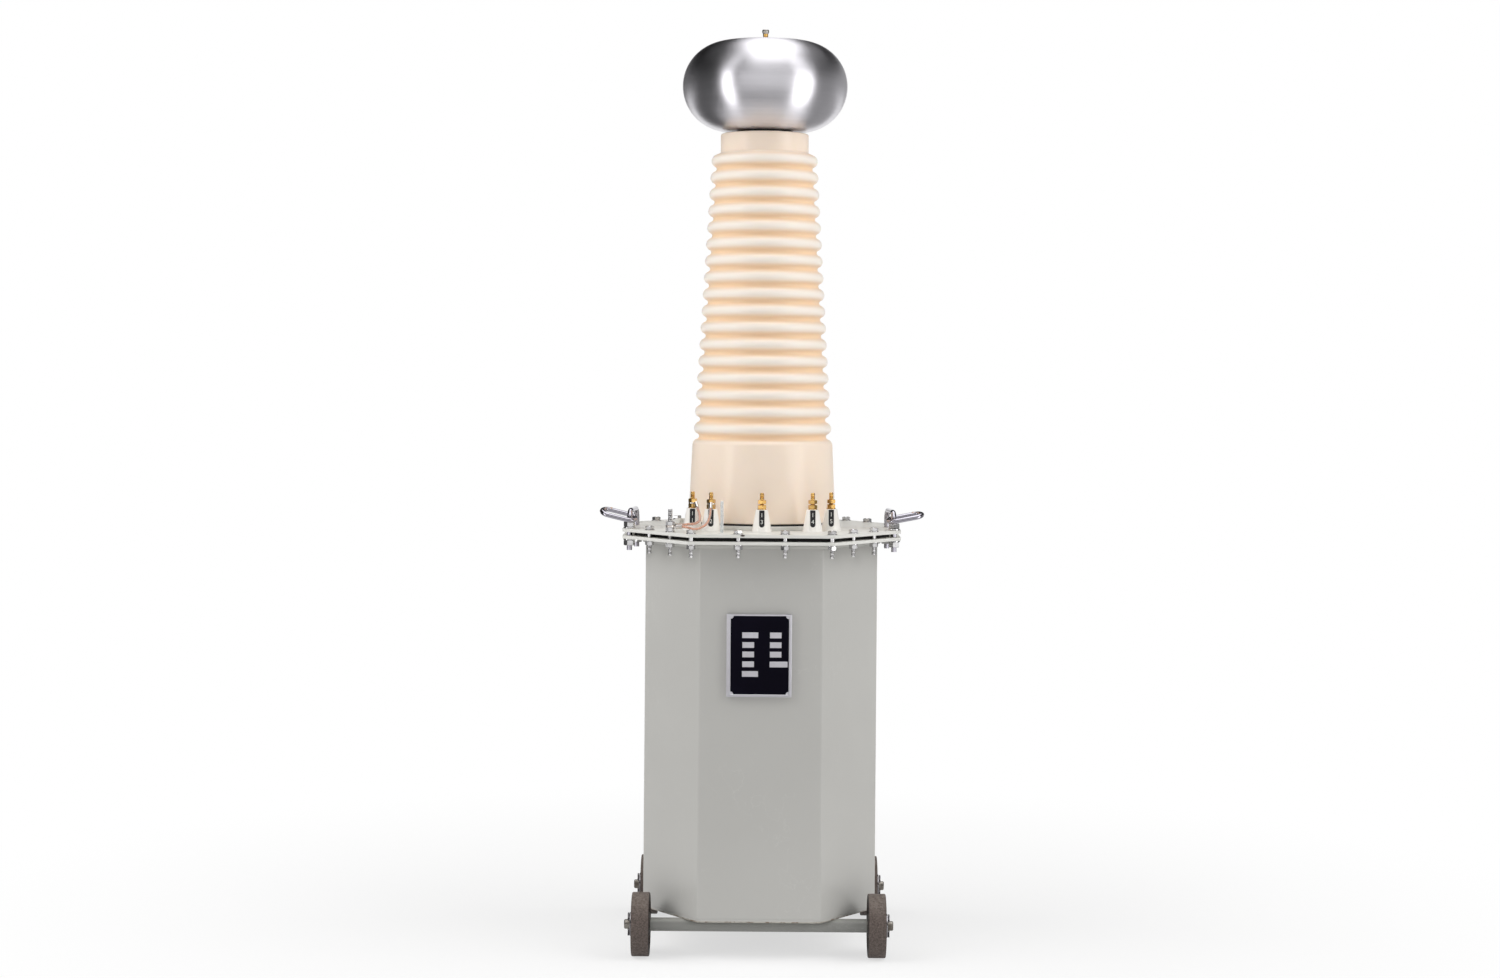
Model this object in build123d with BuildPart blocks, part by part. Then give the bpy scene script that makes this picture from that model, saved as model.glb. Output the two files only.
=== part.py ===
from build123d import *
from math import atan2, cos, degrees, hypot, radians, sin, tan
import os

# Oil-immersed test transformer: an eight-sided oil tank on two axles, a bolted lid,
# a ribbed high-voltage bushing with a spun aluminium electrode, five low-voltage
# terminals, an earth stud with its two leads, and two lifting staples with links.
# Millimetres, Z up, front face towards -Y, origin on the ground under the bushing axis.

os.makedirs("parts", exist_ok=True)

# Running gear
wheel_radius = 40.0
wheel_width = 22.5
wheel_edge = 2.0
wheel_recess_depth = 3.0
wheel_hub_radius = 15.0
wheel_rim_depth = 9.0
wheel_inner_face = 138.5
wheel_base = 258.0
axle_rod_radius = 6.0
axle_rod_end = 7.2
axle_tube_radius = 8.5
axle_tube_wall = 2.2
axle_tube_gap = 2.8
axle_weld_half_width = 7.0
axle_weld_height = 3.6
axle_washer_radius = 15.0
axle_washer_thickness = 2.0
split_pin_radius = 1.5
split_pin_tail = 7.0
split_pin_spread = 22.0
running_clearance = 0.05
side_clearance = 0.3

# Tank
tank_half_width = 150.0
tank_half_depth = 156.0
tank_front_half = 78.0
tank_side_half = 62.0
tank_wall = 3.0
tank_bend_radius = 14.0
floor_thickness = 4.0
floor_gap = 0.1
tank_top = 526.0
flange_reach = 30.0
flange_thickness = 4.0
flange_corner_radius = 4.0
flange_weld_leg = 6.5
flange_weld_toe = 0.4
gasket_reach = 15.0
gasket_thickness = 5.0
lid_thickness = 4.0

# Lid bolts, size M6
bolt_line = 21.0
bolt_radius = 3.0
bolt_head_flats = 10.0
bolt_head_height = 4.0
washer_radius = 6.3
washer_thickness = 1.2
nut_height = 5.0
bolt_tail = 10.0
bolt_hole_clearance = 0.3
thread_clearance = 0.1

# Lifting staples and links
staple_bar_radius = 3.5
staple_rise = 26.0
staple_bend_radius = 13.0
staple_turn_in = 6.0
staple_nut_flats = 13.0
staple_nut_height = 7.0
staple_washer_radius = 8.0
staple_washer_thickness = 2.0
staple_tail = 6.0
link_bar_radius = 2.5
link_length = 50.0
link_width = 24.0
link_tilt = 11.0
link_leg_clearance = 1.5
link_rest_clearance = 0.3

# High-voltage bushing
base_ring_radius = 99.0
base_ring_height = 5.3
bushing_gasket_radius = 98.0
bushing_gasket_height = 2.2
bushing_height = 509.5
skirt_radius = 97.0
skirt_top_radius = 92.4
skirt_height = 99.5
first_valley_height = 110.9
shed_count = 17
shed_pitch = 22.0
shed_bottom_radius = 90.6
shed_top_radius = 70.0
shed_depth = 7.4
shed_valley_share = 0.31
bushing_neck_radius = 58.0
bushing_neck_height = 25.2
bushing_edge = 2.5
bushing_bottom_bore = 70.0
bushing_top_bore = 36.0
bushing_cap = 18.0
lead_bore_radius = 6.0

# Electrode
collar_radius = 37.0
collar_height = 4.0
electrode_height = 117.4
electrode_flat_radius = 50.0
electrode_wall = 2.0
terminal_nut_flats = 10.0
terminal_nut_height = 4.0
terminal_post_radius = 3.5
terminal_post_height = 7.0
terminal_cap_radius = 4.5
terminal_cap_height = 5.6

# Low-voltage terminals
insulator_base_radius = 12.7
insulator_top_radius = 7.8
insulator_height = 28.0
insulator_spigot_radius = 6.8
insulator_spigot_length = 10.0
spigot_clearance = 0.2
stud_radius = 3.0
stud_tail = 8.0
stud_free_length = 9.0
stud_nut_flats = 10.0
stud_nut_height = 5.0
stud_washer_radius = 6.0
stud_washer_thickness = 1.0
label_width = 6.5
label_height = 22.4
label_recess = 1.3
label_thickness = 0.8
label_clearance = 0.1
terminal_places = [(0.0, -118.0), (65.0, -107.0), (89.0, -88.0), (-65.0, -107.0), (-89.0, -88.0)]

# Earth stud and leads
earth_stud_top = 29.0
lead_radius = 2.0
lug_barrel_radius = 2.6
lug_barrel_length = 7.0
lug_ring_radius = 5.6
lug_thickness = 1.2
lug_neck = 0.6
lead_exit_run = 9.0
terminal_lug_droop = 55.0
earth_lug_rise = 4.0
front_terminal_lug_angle = -92.0
rear_terminal_lug_angle = -60.0
front_earth_lug_angle = -12.0
rear_earth_lug_angle = 32.0

# Hand-chosen middle points of the leads, between the runs that leave their lugs
front_route = [(-70.0, -134.5, 549.5)]
rear_route = [(-78.5, -112.5, 553.5), (-83.0, -121.5, 548.6)]

# Small fittings
plug_place = (-109.0, 18.0)
plug_flats = 11.0
plug_height = 8.5
plug_collar_radius = 7.0
plug_collar_height = 1.5
level_tube_place = (-50.0, -143.0)
level_tube_radius = 1.6
level_tube_bore = 0.9
level_tube_height = 39.0
nameplate_width = 81.4
nameplate_height = 104.8
nameplate_centre_height = 385.6
nameplate_frame_depth = 6.5
nameplate_frame_width = 5.0
nameplate_recess = 2.0
nameplate_thickness = 1.2
nameplate_notch = 7.0
nameplate_clearance = 0.3

# Heights that follow from the stack of pieces
axle_height = wheel_radius
axle_y = wheel_base / 2
floor_bottom = axle_height + axle_tube_radius + floor_gap
floor_top = floor_bottom + floor_thickness
flange_top = tank_top + flange_thickness
lid_bottom = flange_top + gasket_thickness
lid_top = lid_bottom + lid_thickness
base_ring_top = lid_top + base_ring_height
bushing_bottom = base_ring_top + bushing_gasket_height
bushing_top = bushing_bottom + bushing_height
electrode_bottom = bushing_top + collar_height
electrode_top = electrode_bottom + electrode_height
insulator_top = lid_top + insulator_height
first_nut_bottom = insulator_top + stud_washer_thickness
lug_height = first_nut_bottom + stud_nut_height
second_nut_bottom = lug_height + lug_thickness
stud_top = second_nut_bottom + stud_nut_height + stud_free_length

# Places along the axles
wheel_outer_face = wheel_inner_face + wheel_width
axle_washer_face = wheel_outer_face + side_clearance
split_pin_x = axle_washer_face + axle_washer_thickness + side_clearance + split_pin_radius
axle_rod_half = split_pin_x + axle_rod_end - split_pin_radius
axle_tube_half = wheel_inner_face - axle_tube_gap


def octagon_points(grow):
    """Corners of the tank outline grown outwards by one distance, from front left round."""
    run = tank_half_width - tank_front_half
    rise = tank_half_depth - tank_side_half
    slant = hypot(run, rise)
    normal_x = rise / slant
    normal_y = run / slant
    reach = normal_x * tank_front_half + normal_y * tank_half_depth + grow
    depth = tank_half_depth + grow
    width = tank_half_width + grow
    front = (reach - normal_y * depth) / normal_x
    side = (reach - normal_x * width) / normal_y
    return [
        (-front, -depth), (front, -depth), (width, -side), (width, side),
        (front, depth), (-front, depth), (-width, side), (-width, -side),
    ]


def octagon(grow, corner_radius, mode=Mode.ADD):
    """Draw the tank outline in the current sketch, with rounded corners."""
    with BuildSketch(mode=Mode.PRIVATE) as outline:
        Polygon(*octagon_points(grow), align=None)
        fillet(outline.vertices(), radius=corner_radius)
    add(outline.sketch, mode=mode)


def along(start, end, share):
    """Point between two plan points at a share of the way."""
    return (start[0] + (end[0] - start[0]) * share, start[1] + (end[1] - start[1]) * share)


# Bolt places on the flange: front and back sides and the slanted sides in three
# steps, the two flat sides in two.
bolt_corners = octagon_points(bolt_line)
bolt_places = []
for index, corner in enumerate(bolt_corners):
    following = bolt_corners[(index + 1) % len(bolt_corners)]
    side_is_flat = abs(corner[0] - following[0]) < 1.0
    steps = 2 if side_is_flat else 3
    for step in range(steps):
        bolt_places.append(along(corner, following, step / steps))

# The front corner and the middle of each flat side hold the legs of a staple, and
# the first place on the left front slant holds the earth stud.
staple_front = bolt_corners[2]
staple_back = (staple_front[0] - staple_turn_in, 0.0)
earth_place = along(bolt_corners[0], bolt_corners[7], 1 / 3)


def near(place, other):
    """True where two plan points are within one bolt of each other."""
    return hypot(place[0] - other[0], place[1] - other[1]) < bolt_head_flats


def is_plain_bolt(place):
    """True for a place that holds an ordinary bolt."""
    mirrored = (abs(place[0]), place[1])
    return not (near(mirrored, staple_front) or near(mirrored, staple_back) or near(place, earth_place))


plain_bolts = [place for place in bolt_places if is_plain_bolt(place)]
staple_legs = [(side * leg[0], leg[1]) for side in (-1, 1) for leg in (staple_front, staple_back)]

# Tank floor
with BuildPart() as tank_floor:
    with BuildSketch(Plane.XY.offset(floor_bottom)):
        octagon(0, tank_bend_radius)
    extrude(amount=floor_thickness)

# Tank shell, folded from one sheet
with BuildPart() as tank_shell:
    with BuildSketch(Plane.XY.offset(floor_top)):
        octagon(0, tank_bend_radius)
        octagon(-tank_wall, tank_bend_radius - tank_wall, mode=Mode.SUBTRACT)
    extrude(amount=tank_top - floor_top)

# Weld bead that flares out under the flange
with BuildPart() as flange_weld:
    with BuildSketch(Plane.XY.offset(tank_top - flange_weld_leg)):
        octagon(flange_weld_toe, tank_bend_radius)
    with BuildSketch(Plane.XY.offset(tank_top)):
        octagon(flange_weld_leg, tank_bend_radius)
    loft()
    with BuildSketch(Plane.XY.offset(tank_top - flange_weld_leg)):
        octagon(0, tank_bend_radius)
    extrude(amount=flange_weld_leg, mode=Mode.SUBTRACT)

# Flange ring with its bolt holes
with BuildPart() as tank_flange:
    with BuildSketch(Plane.XY.offset(tank_top)):
        octagon(flange_reach, flange_corner_radius)
        octagon(-tank_wall, tank_bend_radius - tank_wall, mode=Mode.SUBTRACT)
        with Locations(*plain_bolts, earth_place):
            Circle(bolt_radius + bolt_hole_clearance, mode=Mode.SUBTRACT)
        with Locations(*staple_legs):
            Circle(staple_bar_radius + bolt_hole_clearance, mode=Mode.SUBTRACT)
    extrude(amount=flange_thickness)

# Oil seal between flange and lid, inside the bolt line
with BuildPart() as flange_gasket:
    with BuildSketch(Plane.XY.offset(flange_top)):
        octagon(gasket_reach - bolt_hole_clearance, tank_bend_radius)
        octagon(-tank_wall, tank_bend_radius - tank_wall, mode=Mode.SUBTRACT)
        with Locations(*staple_legs):
            Circle(staple_bar_radius + bolt_hole_clearance, mode=Mode.SUBTRACT)
    extrude(amount=gasket_thickness)

# Lid plate with the bushing opening and the holes for studs, legs and terminals
with BuildPart() as lid:
    with BuildSketch(Plane.XY.offset(lid_bottom)):
        octagon(flange_reach, flange_corner_radius)
        Circle(bushing_bottom_bore, mode=Mode.SUBTRACT)
        with Locations(*plain_bolts, earth_place):
            Circle(bolt_radius + bolt_hole_clearance, mode=Mode.SUBTRACT)
        with Locations(*staple_legs):
            Circle(staple_bar_radius + bolt_hole_clearance, mode=Mode.SUBTRACT)
        with Locations(*terminal_places):
            Circle(insulator_spigot_radius + spigot_clearance, mode=Mode.SUBTRACT)
    extrude(amount=lid_thickness)

# Lid bolts: hexagon head, washer and shank
bolt_bottom = tank_top - washer_thickness - nut_height - bolt_tail
with BuildPart() as lid_bolts:
    with BuildSketch(Plane.XY.offset(lid_top)):
        with Locations(*plain_bolts):
            Circle(washer_radius)
    extrude(amount=washer_thickness)
    with BuildSketch(Plane.XY.offset(lid_top + washer_thickness)):
        with Locations(*plain_bolts):
            RegularPolygon(bolt_head_flats / 2, 6, major_radius=False)
    extrude(amount=bolt_head_height)
    with BuildSketch(Plane.XY.offset(bolt_bottom)):
        with Locations(*plain_bolts):
            Circle(bolt_radius)
    extrude(amount=lid_top - bolt_bottom)

# Washers and nuts under the flange
with BuildPart() as lid_bolt_nuts:
    with BuildSketch(Plane.XY.offset(tank_top)):
        with Locations(*plain_bolts):
            Circle(washer_radius)
            Circle(bolt_radius + thread_clearance, mode=Mode.SUBTRACT)
    extrude(amount=-washer_thickness)
    with BuildSketch(Plane.XY.offset(tank_top - washer_thickness)):
        with Locations(*plain_bolts):
            RegularPolygon(bolt_head_flats / 2, 6, major_radius=False)
            Circle(bolt_radius + thread_clearance, mode=Mode.SUBTRACT)
    extrude(amount=-nut_height)

# Lifting staples, bent from round bar with a leg through lid and flange at each end
staple_top = lid_top + staple_rise - staple_bar_radius
staple_bottom = tank_top - staple_washer_thickness - staple_nut_height - staple_tail
staples = {}
for name, side in (("left", -1), ("right", 1)):
    front_x, front_y = side * staple_front[0], staple_front[1]
    back_x, back_y = side * staple_back[0], staple_back[1]
    with BuildPart() as staple:
        with BuildLine() as route:
            FilletPolyline(
                (front_x, front_y, staple_bottom),
                (front_x, front_y, staple_top),
                (back_x, back_y, staple_top),
                (back_x, back_y, staple_bottom),
                radius=staple_bend_radius,
            )
        with BuildSketch(Plane(origin=(front_x, front_y, staple_bottom), z_dir=(0, 0, 1))):
            Circle(staple_bar_radius)
        sweep(path=route.wires()[0])
    staples[name] = staple

# Nuts and washers of the staples, above the lid and under the flange
with BuildPart() as staple_nuts:
    for face, way in ((lid_top, 1), (tank_top, -1)):
        with BuildSketch(Plane.XY.offset(face)):
            with Locations(*staple_legs):
                Circle(staple_washer_radius)
                Circle(staple_bar_radius + thread_clearance, mode=Mode.SUBTRACT)
        extrude(amount=way * staple_washer_thickness)
        with BuildSketch(Plane.XY.offset(face + way * staple_washer_thickness)):
            with Locations(*staple_legs):
                RegularPolygon(staple_nut_flats / 2, 6, major_radius=False)
                Circle(staple_bar_radius + thread_clearance, mode=Mode.SUBTRACT)
        extrude(amount=way * staple_nut_height)

# Lifting links: ovals of round bar that lie over the front leg, propped on its nut
link_pivot_x = staple_front[0] - staple_bar_radius - link_leg_clearance - link_bar_radius
staple_nut_top = lid_top + staple_washer_thickness + staple_nut_height
link_pivot_z = staple_nut_top + link_rest_clearance + link_bar_radius
link_end_radius = (link_width - 2 * link_bar_radius) / 2
link_straight = link_length - 2 * link_bar_radius - 2 * link_end_radius
links = {}
for name, side in (("left", -1), ("right", 1)):
    outward = Vector(side * cos(radians(link_tilt)), 0, sin(radians(link_tilt)))
    link_plane = Plane(
        origin=(side * link_pivot_x, staple_front[1], link_pivot_z),
        x_dir=outward,
        z_dir=outward.cross(Vector(0, 1, 0)),
    )
    near_turn = link_end_radius
    far_turn = link_end_radius + link_straight
    with BuildPart() as link:
        with BuildLine(link_plane) as route:
            Line((near_turn, -link_end_radius), (far_turn, -link_end_radius))
            ThreePointArc(
                (far_turn, -link_end_radius),
                (far_turn + link_end_radius, 0),
                (far_turn, link_end_radius),
            )
            Line((far_turn, link_end_radius), (near_turn, link_end_radius))
            ThreePointArc((near_turn, link_end_radius), (0, 0), (near_turn, -link_end_radius))
        with BuildSketch(Plane(origin=route.wires()[0] @ 0, z_dir=route.wires()[0] % 0)):
            Circle(link_bar_radius)
        sweep(path=route.wires()[0])
    links[name] = link

# Painted ring and rubber gasket under the bushing
with BuildPart() as bushing_base_ring:
    with BuildSketch(Plane.XY.offset(lid_top)):
        Circle(base_ring_radius)
        Circle(bushing_bottom_bore, mode=Mode.SUBTRACT)
    extrude(amount=base_ring_height)

with BuildPart() as bushing_gasket:
    with BuildSketch(Plane.XY.offset(base_ring_top)):
        Circle(bushing_gasket_radius)
        Circle(bushing_bottom_bore, mode=Mode.SUBTRACT)
    extrude(amount=bushing_gasket_height)

# Bushing: one turned profile with a plain skirt, seventeen rounded sheds that
# shrink upwards and a plain neck, hollow for the high-voltage lead
first_crest = bushing_bottom + first_valley_height + shed_pitch / 2
shed_step = (shed_bottom_radius - shed_top_radius) / (shed_count - 1)
crests = [
    (shed_bottom_radius - shed_step * index, first_crest + shed_pitch * index)
    for index in range(shed_count)
]
valleys = [
    (radius + shed_step / 2 - shed_depth, height - shed_pitch / 2) for radius, height in crests
]
skirt_shoulder = (skirt_top_radius, bushing_bottom + skirt_height)
neck_foot = (bushing_neck_radius, bushing_top - bushing_neck_height)
with BuildPart() as bushing:
    with BuildSketch(Plane.XZ):
        with BuildLine():
            Line((bushing_bottom_bore, bushing_bottom), (skirt_radius, bushing_bottom))
            Line((skirt_radius, bushing_bottom), skirt_shoulder)
            last_end = along(valleys[0], skirt_shoulder, shed_valley_share)
            TangentArc(skirt_shoulder, last_end, tangent=(0, 1))
            for crest, valley in zip(crests, valleys):
                rise_start = along(valley, crest, shed_valley_share)
                ThreePointArc(last_end, valley, rise_start)
                above = (valley[0] - shed_step, valley[1] + shed_pitch)
                fall_end = along(above, crest, shed_valley_share)
                ThreePointArc(rise_start, crest, fall_end)
                last_end = fall_end
            Line(last_end, neck_foot)
            Line(neck_foot, (bushing_neck_radius, bushing_top - bushing_edge))
            TangentArc(
                (bushing_neck_radius, bushing_top - bushing_edge),
                (bushing_neck_radius - bushing_edge, bushing_top),
                tangent=(0, 1),
            )
            Polyline(
                (bushing_neck_radius - bushing_edge, bushing_top),
                (lead_bore_radius, bushing_top),
                (lead_bore_radius, bushing_top - bushing_cap),
                (bushing_top_bore, bushing_top - bushing_cap),
                (bushing_bottom_bore, bushing_bottom),
            )
        make_face()
    revolve(axis=Axis.Z)

# Black collar on the bushing, under the electrode
with BuildPart() as electrode_collar:
    with BuildSketch(Plane.XY.offset(bushing_top)):
        Circle(collar_radius)
        Circle(lead_bore_radius, mode=Mode.SUBTRACT)
    extrude(amount=collar_height)

# Electrode: spun shell with flat ends and a half-round rim
electrode_rim = electrode_height / 2
with BuildPart() as electrode:
    with BuildSketch(Plane.XZ):
        with BuildLine():
            Line((lead_bore_radius, electrode_bottom), (electrode_flat_radius, electrode_bottom))
            ThreePointArc(
                (electrode_flat_radius, electrode_bottom),
                (electrode_flat_radius + electrode_rim, electrode_bottom + electrode_rim),
                (electrode_flat_radius, electrode_top),
            )
            Polyline(
                (electrode_flat_radius, electrode_top),
                (lead_bore_radius, electrode_top),
                (lead_bore_radius, electrode_top - electrode_wall),
                (electrode_flat_radius, electrode_top - electrode_wall),
            )
            ThreePointArc(
                (electrode_flat_radius, electrode_top - electrode_wall),
                (electrode_flat_radius + electrode_rim - electrode_wall, electrode_bottom + electrode_rim),
                (electrode_flat_radius, electrode_bottom + electrode_wall),
            )
            Polyline(
                (electrode_flat_radius, electrode_bottom + electrode_wall),
                (lead_bore_radius, electrode_bottom + electrode_wall),
                (lead_bore_radius, electrode_bottom),
            )
        make_face()
    revolve(axis=Axis.Z)

# Top terminal: hexagon foot that covers the opening, post and flared cap
terminal_foot_top = electrode_top + terminal_nut_height
terminal_post_top = terminal_foot_top + terminal_post_height
with BuildPart() as top_terminal:
    with BuildSketch(Plane.XY.offset(electrode_top)):
        Circle(lead_bore_radius + stud_washer_thickness)
    extrude(amount=stud_washer_thickness)
    with BuildSketch(Plane.XY.offset(electrode_top + stud_washer_thickness)):
        RegularPolygon(terminal_nut_flats / 2, 6, major_radius=False)
    extrude(amount=terminal_nut_height - stud_washer_thickness)
    with BuildSketch(Plane.XY.offset(terminal_foot_top)):
        Circle(terminal_post_radius)
    extrude(amount=terminal_post_height)
    with BuildSketch(Plane.XY.offset(terminal_post_top)):
        Circle(terminal_post_radius)
    with BuildSketch(Plane.XY.offset(terminal_post_top + terminal_cap_height / 3)):
        Circle(terminal_cap_radius)
    loft()
    with BuildSketch(Plane.XY.offset(terminal_post_top + terminal_cap_height / 3)):
        Circle(terminal_cap_radius)
    extrude(amount=terminal_cap_height * 2 / 3)

# Low-voltage insulators: tapered, with a spigot through the lid and a recess for the label
insulator_slope = degrees(atan2(insulator_base_radius - insulator_top_radius, insulator_height))
insulator_mean_radius = (insulator_base_radius + insulator_top_radius) / 2


def label_plane(place, depth):
    """Plane parallel to the front line of an insulator, at a depth under its surface."""
    facing = Vector(0, -cos(radians(insulator_slope)), sin(radians(insulator_slope)))
    middle = Vector(place[0], place[1] - insulator_mean_radius, lid_top + insulator_height / 2)
    return Plane(origin=middle - facing * depth, x_dir=(1, 0, 0), z_dir=facing)


def label_outline(shrink):
    """Label strip, square at the top and round at the foot."""
    half = label_width / 2 - shrink
    foot = -label_height / 2 + label_width / 2
    head = label_height / 2 - shrink
    with BuildSketch(mode=Mode.PRIVATE) as outline:
        with BuildLine():
            Polyline((-half, foot), (-half, head), (half, head), (half, foot))
            ThreePointArc((half, foot), (0, foot - half), (-half, foot))
        make_face()
    return outline.sketch


with BuildPart() as terminal_insulators:
    with BuildSketch(Plane.XY.offset(lid_top - insulator_spigot_length)):
        with Locations(*terminal_places):
            Circle(insulator_spigot_radius)
            Circle(stud_radius + thread_clearance, mode=Mode.SUBTRACT)
    extrude(amount=insulator_spigot_length)
    for place in terminal_places:
        with BuildSketch(Plane.XY.offset(lid_top)):
            with Locations(place):
                Circle(insulator_base_radius)
        with BuildSketch(Plane.XY.offset(insulator_top)):
            with Locations(place):
                Circle(insulator_top_radius)
        loft()
    with BuildSketch(Plane.XY.offset(lid_top)):
        with Locations(*terminal_places):
            Circle(stud_radius + thread_clearance)
    extrude(amount=insulator_height, mode=Mode.SUBTRACT)
    for place in terminal_places:
        with BuildSketch(label_plane(place, label_recess)):
            add(label_outline(0))
        extrude(amount=label_recess + label_thickness, mode=Mode.SUBTRACT)

with BuildPart() as terminal_labels:
    for place in terminal_places:
        with BuildSketch(label_plane(place, label_recess)):
            add(label_outline(label_clearance))
        extrude(amount=label_thickness)

# Terminal studs, each with its washer and two nuts
with BuildPart() as terminal_studs:
    with BuildSketch(Plane.XY.offset(lid_top - insulator_spigot_length - stud_tail)):
        with Locations(*terminal_places):
            Circle(stud_radius)
    extrude(amount=stud_top - lid_top + insulator_spigot_length + stud_tail)
    with BuildSketch(Plane.XY.offset(insulator_top)):
        with Locations(*terminal_places):
            Circle(stud_washer_radius)
    extrude(amount=stud_washer_thickness)
    for height in (first_nut_bottom, second_nut_bottom):
        with BuildSketch(Plane.XY.offset(height)):
            with Locations(*terminal_places):
                RegularPolygon(stud_nut_flats / 2, 6, major_radius=False)
        extrude(amount=stud_nut_height)

# Earth stud: nut under the flange, nut on the lid, a gap for the two lugs, nut on top
earth_lug_low = lid_top + washer_thickness + nut_height
earth_lug_high = earth_lug_low + lug_thickness
earth_top_nut = earth_lug_high + lug_thickness
with BuildPart() as earth_stud:
    with BuildSketch(Plane.XY.offset(bolt_bottom)):
        with Locations(earth_place):
            Circle(bolt_radius)
    extrude(amount=lid_top + earth_stud_top - bolt_bottom)
    for face, way in ((lid_top, 1), (tank_top, -1)):
        with BuildSketch(Plane.XY.offset(face)):
            with Locations(earth_place):
                Circle(washer_radius)
        extrude(amount=way * washer_thickness)
        with BuildSketch(Plane.XY.offset(face + way * washer_thickness)):
            with Locations(earth_place):
                RegularPolygon(bolt_head_flats / 2, 6, major_radius=False)
        extrude(amount=way * nut_height)
    with BuildSketch(Plane.XY.offset(earth_top_nut)):
        with Locations(earth_place):
            RegularPolygon(bolt_head_flats / 2, 6, major_radius=False)
    extrude(amount=nut_height)

# Earth leads: each runs from a ring lug on a terminal to a ring lug on the earth stud
front_terminal = terminal_places[3]
rear_terminal = terminal_places[4]


def lug_way(angle, slope):
    """Direction of a lug's barrel from its turn about the post and its slope upwards."""
    level = cos(radians(slope))
    return Vector(level * cos(radians(angle)), level * sin(radians(angle)), sin(radians(slope)))


def lug_root(post, height, angle):
    """Point where the barrel of a lug leaves its ring."""
    reach = lug_ring_radius + lug_barrel_radius + lug_neck
    flat = lug_way(angle, 0) * reach
    return Vector(post[0], post[1], height + lug_thickness / 2) + flat


def lug_solid(post, height, angle, slope):
    """Ring lug on a post, with a barrel that takes the end of a lead."""
    root = lug_root(post, height, angle)
    ring_plane = Plane(origin=(post[0], post[1], height), x_dir=lug_way(angle, 0), z_dir=(0, 0, 1))
    reach = lug_ring_radius + lug_barrel_radius + lug_neck
    with BuildPart() as lug:
        with BuildSketch(ring_plane):
            Circle(lug_ring_radius)
            with Locations((reach / 2, 0)):
                Rectangle(reach, 2 * lug_barrel_radius)
            Circle(stud_radius + thread_clearance, mode=Mode.SUBTRACT)
        extrude(amount=lug_thickness)
        with BuildSketch(Plane(origin=root, z_dir=lug_way(angle, slope)).offset(-lug_thickness)):
            Circle(lug_barrel_radius)
        extrude(amount=lug_barrel_length + lug_thickness)
    return lug


def corner_radii(points):
    """Bend radius at each inner point of a route, as large as its two runs allow."""
    radii = []
    for before, here, after in zip(points, points[1:], points[2:]):
        first = here - before
        second = after - here
        turn = first.get_angle(second)
        radii.append(0.45 * min(first.length, second.length) / tan(radians(turn / 2)))
    return radii


def lead_solid(label, start_lug, end_lug, middle_points):
    """Round lead between two lugs along straight runs joined by tangent arcs."""
    ends = []
    for post, height, angle, slope in (start_lug, end_lug):
        way = lug_way(angle, slope)
        mouth = lug_root(post, height, angle) + way * lug_barrel_length
        ends.append([mouth, mouth + way * lead_exit_run])
    points = ends[0] + [Vector(*point) for point in middle_points] + ends[1][::-1]
    radii = corner_radii(points)
    with BuildPart() as lead:
        with BuildLine() as route:
            FilletPolyline(*points, radius=radii)
        wire = route.wires()[0]
        with BuildSketch(Plane(origin=wire @ 0, z_dir=wire % 0)):
            Circle(lead_radius)
        sweep(path=wire)
    section = lead.part.volume / wire.length
    print(label, "route", [tuple(round(value, 1) for value in point) for point in points])
    print(label, "radii", [round(radius, 1) for radius in radii])
    print(label, "length", round(wire.length, 1), "section", round(section, 2))
    return lead


lug_settings = {
    "terminal_lug_front": (front_terminal, lug_height, front_terminal_lug_angle, -terminal_lug_droop),
    "terminal_lug_rear": (rear_terminal, lug_height, rear_terminal_lug_angle, -terminal_lug_droop),
    "earth_lug_front": (earth_place, earth_lug_low, front_earth_lug_angle, earth_lug_rise),
    "earth_lug_rear": (earth_place, earth_lug_high, rear_earth_lug_angle, earth_lug_rise),
}
lugs = {label: lug_solid(*setting) for label, setting in lug_settings.items()}
earth_lead_front = lead_solid(
    "earth_lead_front",
    lug_settings["terminal_lug_front"],
    lug_settings["earth_lug_front"],
    front_route,
)
earth_lead_rear = lead_solid(
    "earth_lead_rear",
    lug_settings["terminal_lug_rear"],
    lug_settings["earth_lug_rear"],
    rear_route,
)

# Oil filler plug
with BuildPart() as oil_filler_plug:
    with BuildSketch(Plane.XY.offset(lid_top)):
        with Locations(plug_place):
            Circle(plug_collar_radius)
    extrude(amount=plug_collar_height)
    with BuildSketch(Plane.XY.offset(lid_top + plug_collar_height)):
        with Locations(plug_place):
            RegularPolygon(plug_flats / 2, 6, major_radius=False)
    extrude(amount=plug_height - plug_collar_height)

# Clear upright tube at the front edge of the lid
with BuildPart() as level_tube:
    with BuildSketch(Plane.XY.offset(lid_top)):
        with Locations(level_tube_place):
            Circle(level_tube_radius)
            Circle(level_tube_bore, mode=Mode.SUBTRACT)
    extrude(amount=level_tube_height)

# Nameplate frame on the front of the tank, with a recess for the bare plate
frame_plane = Plane(
    origin=(0, -tank_half_depth, nameplate_centre_height), x_dir=(1, 0, 0), z_dir=(0, -1, 0)
)
frame_inner_width = nameplate_width - 2 * nameplate_frame_width
frame_inner_height = nameplate_height - 2 * nameplate_frame_width
with BuildPart() as nameplate_frame:
    with BuildSketch(frame_plane):
        Rectangle(nameplate_width, nameplate_height)
    extrude(amount=nameplate_frame_depth)
    with BuildSketch(frame_plane.offset(nameplate_frame_depth)):
        Rectangle(frame_inner_width, frame_inner_height)
    extrude(amount=-nameplate_recess, mode=Mode.SUBTRACT)

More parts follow.
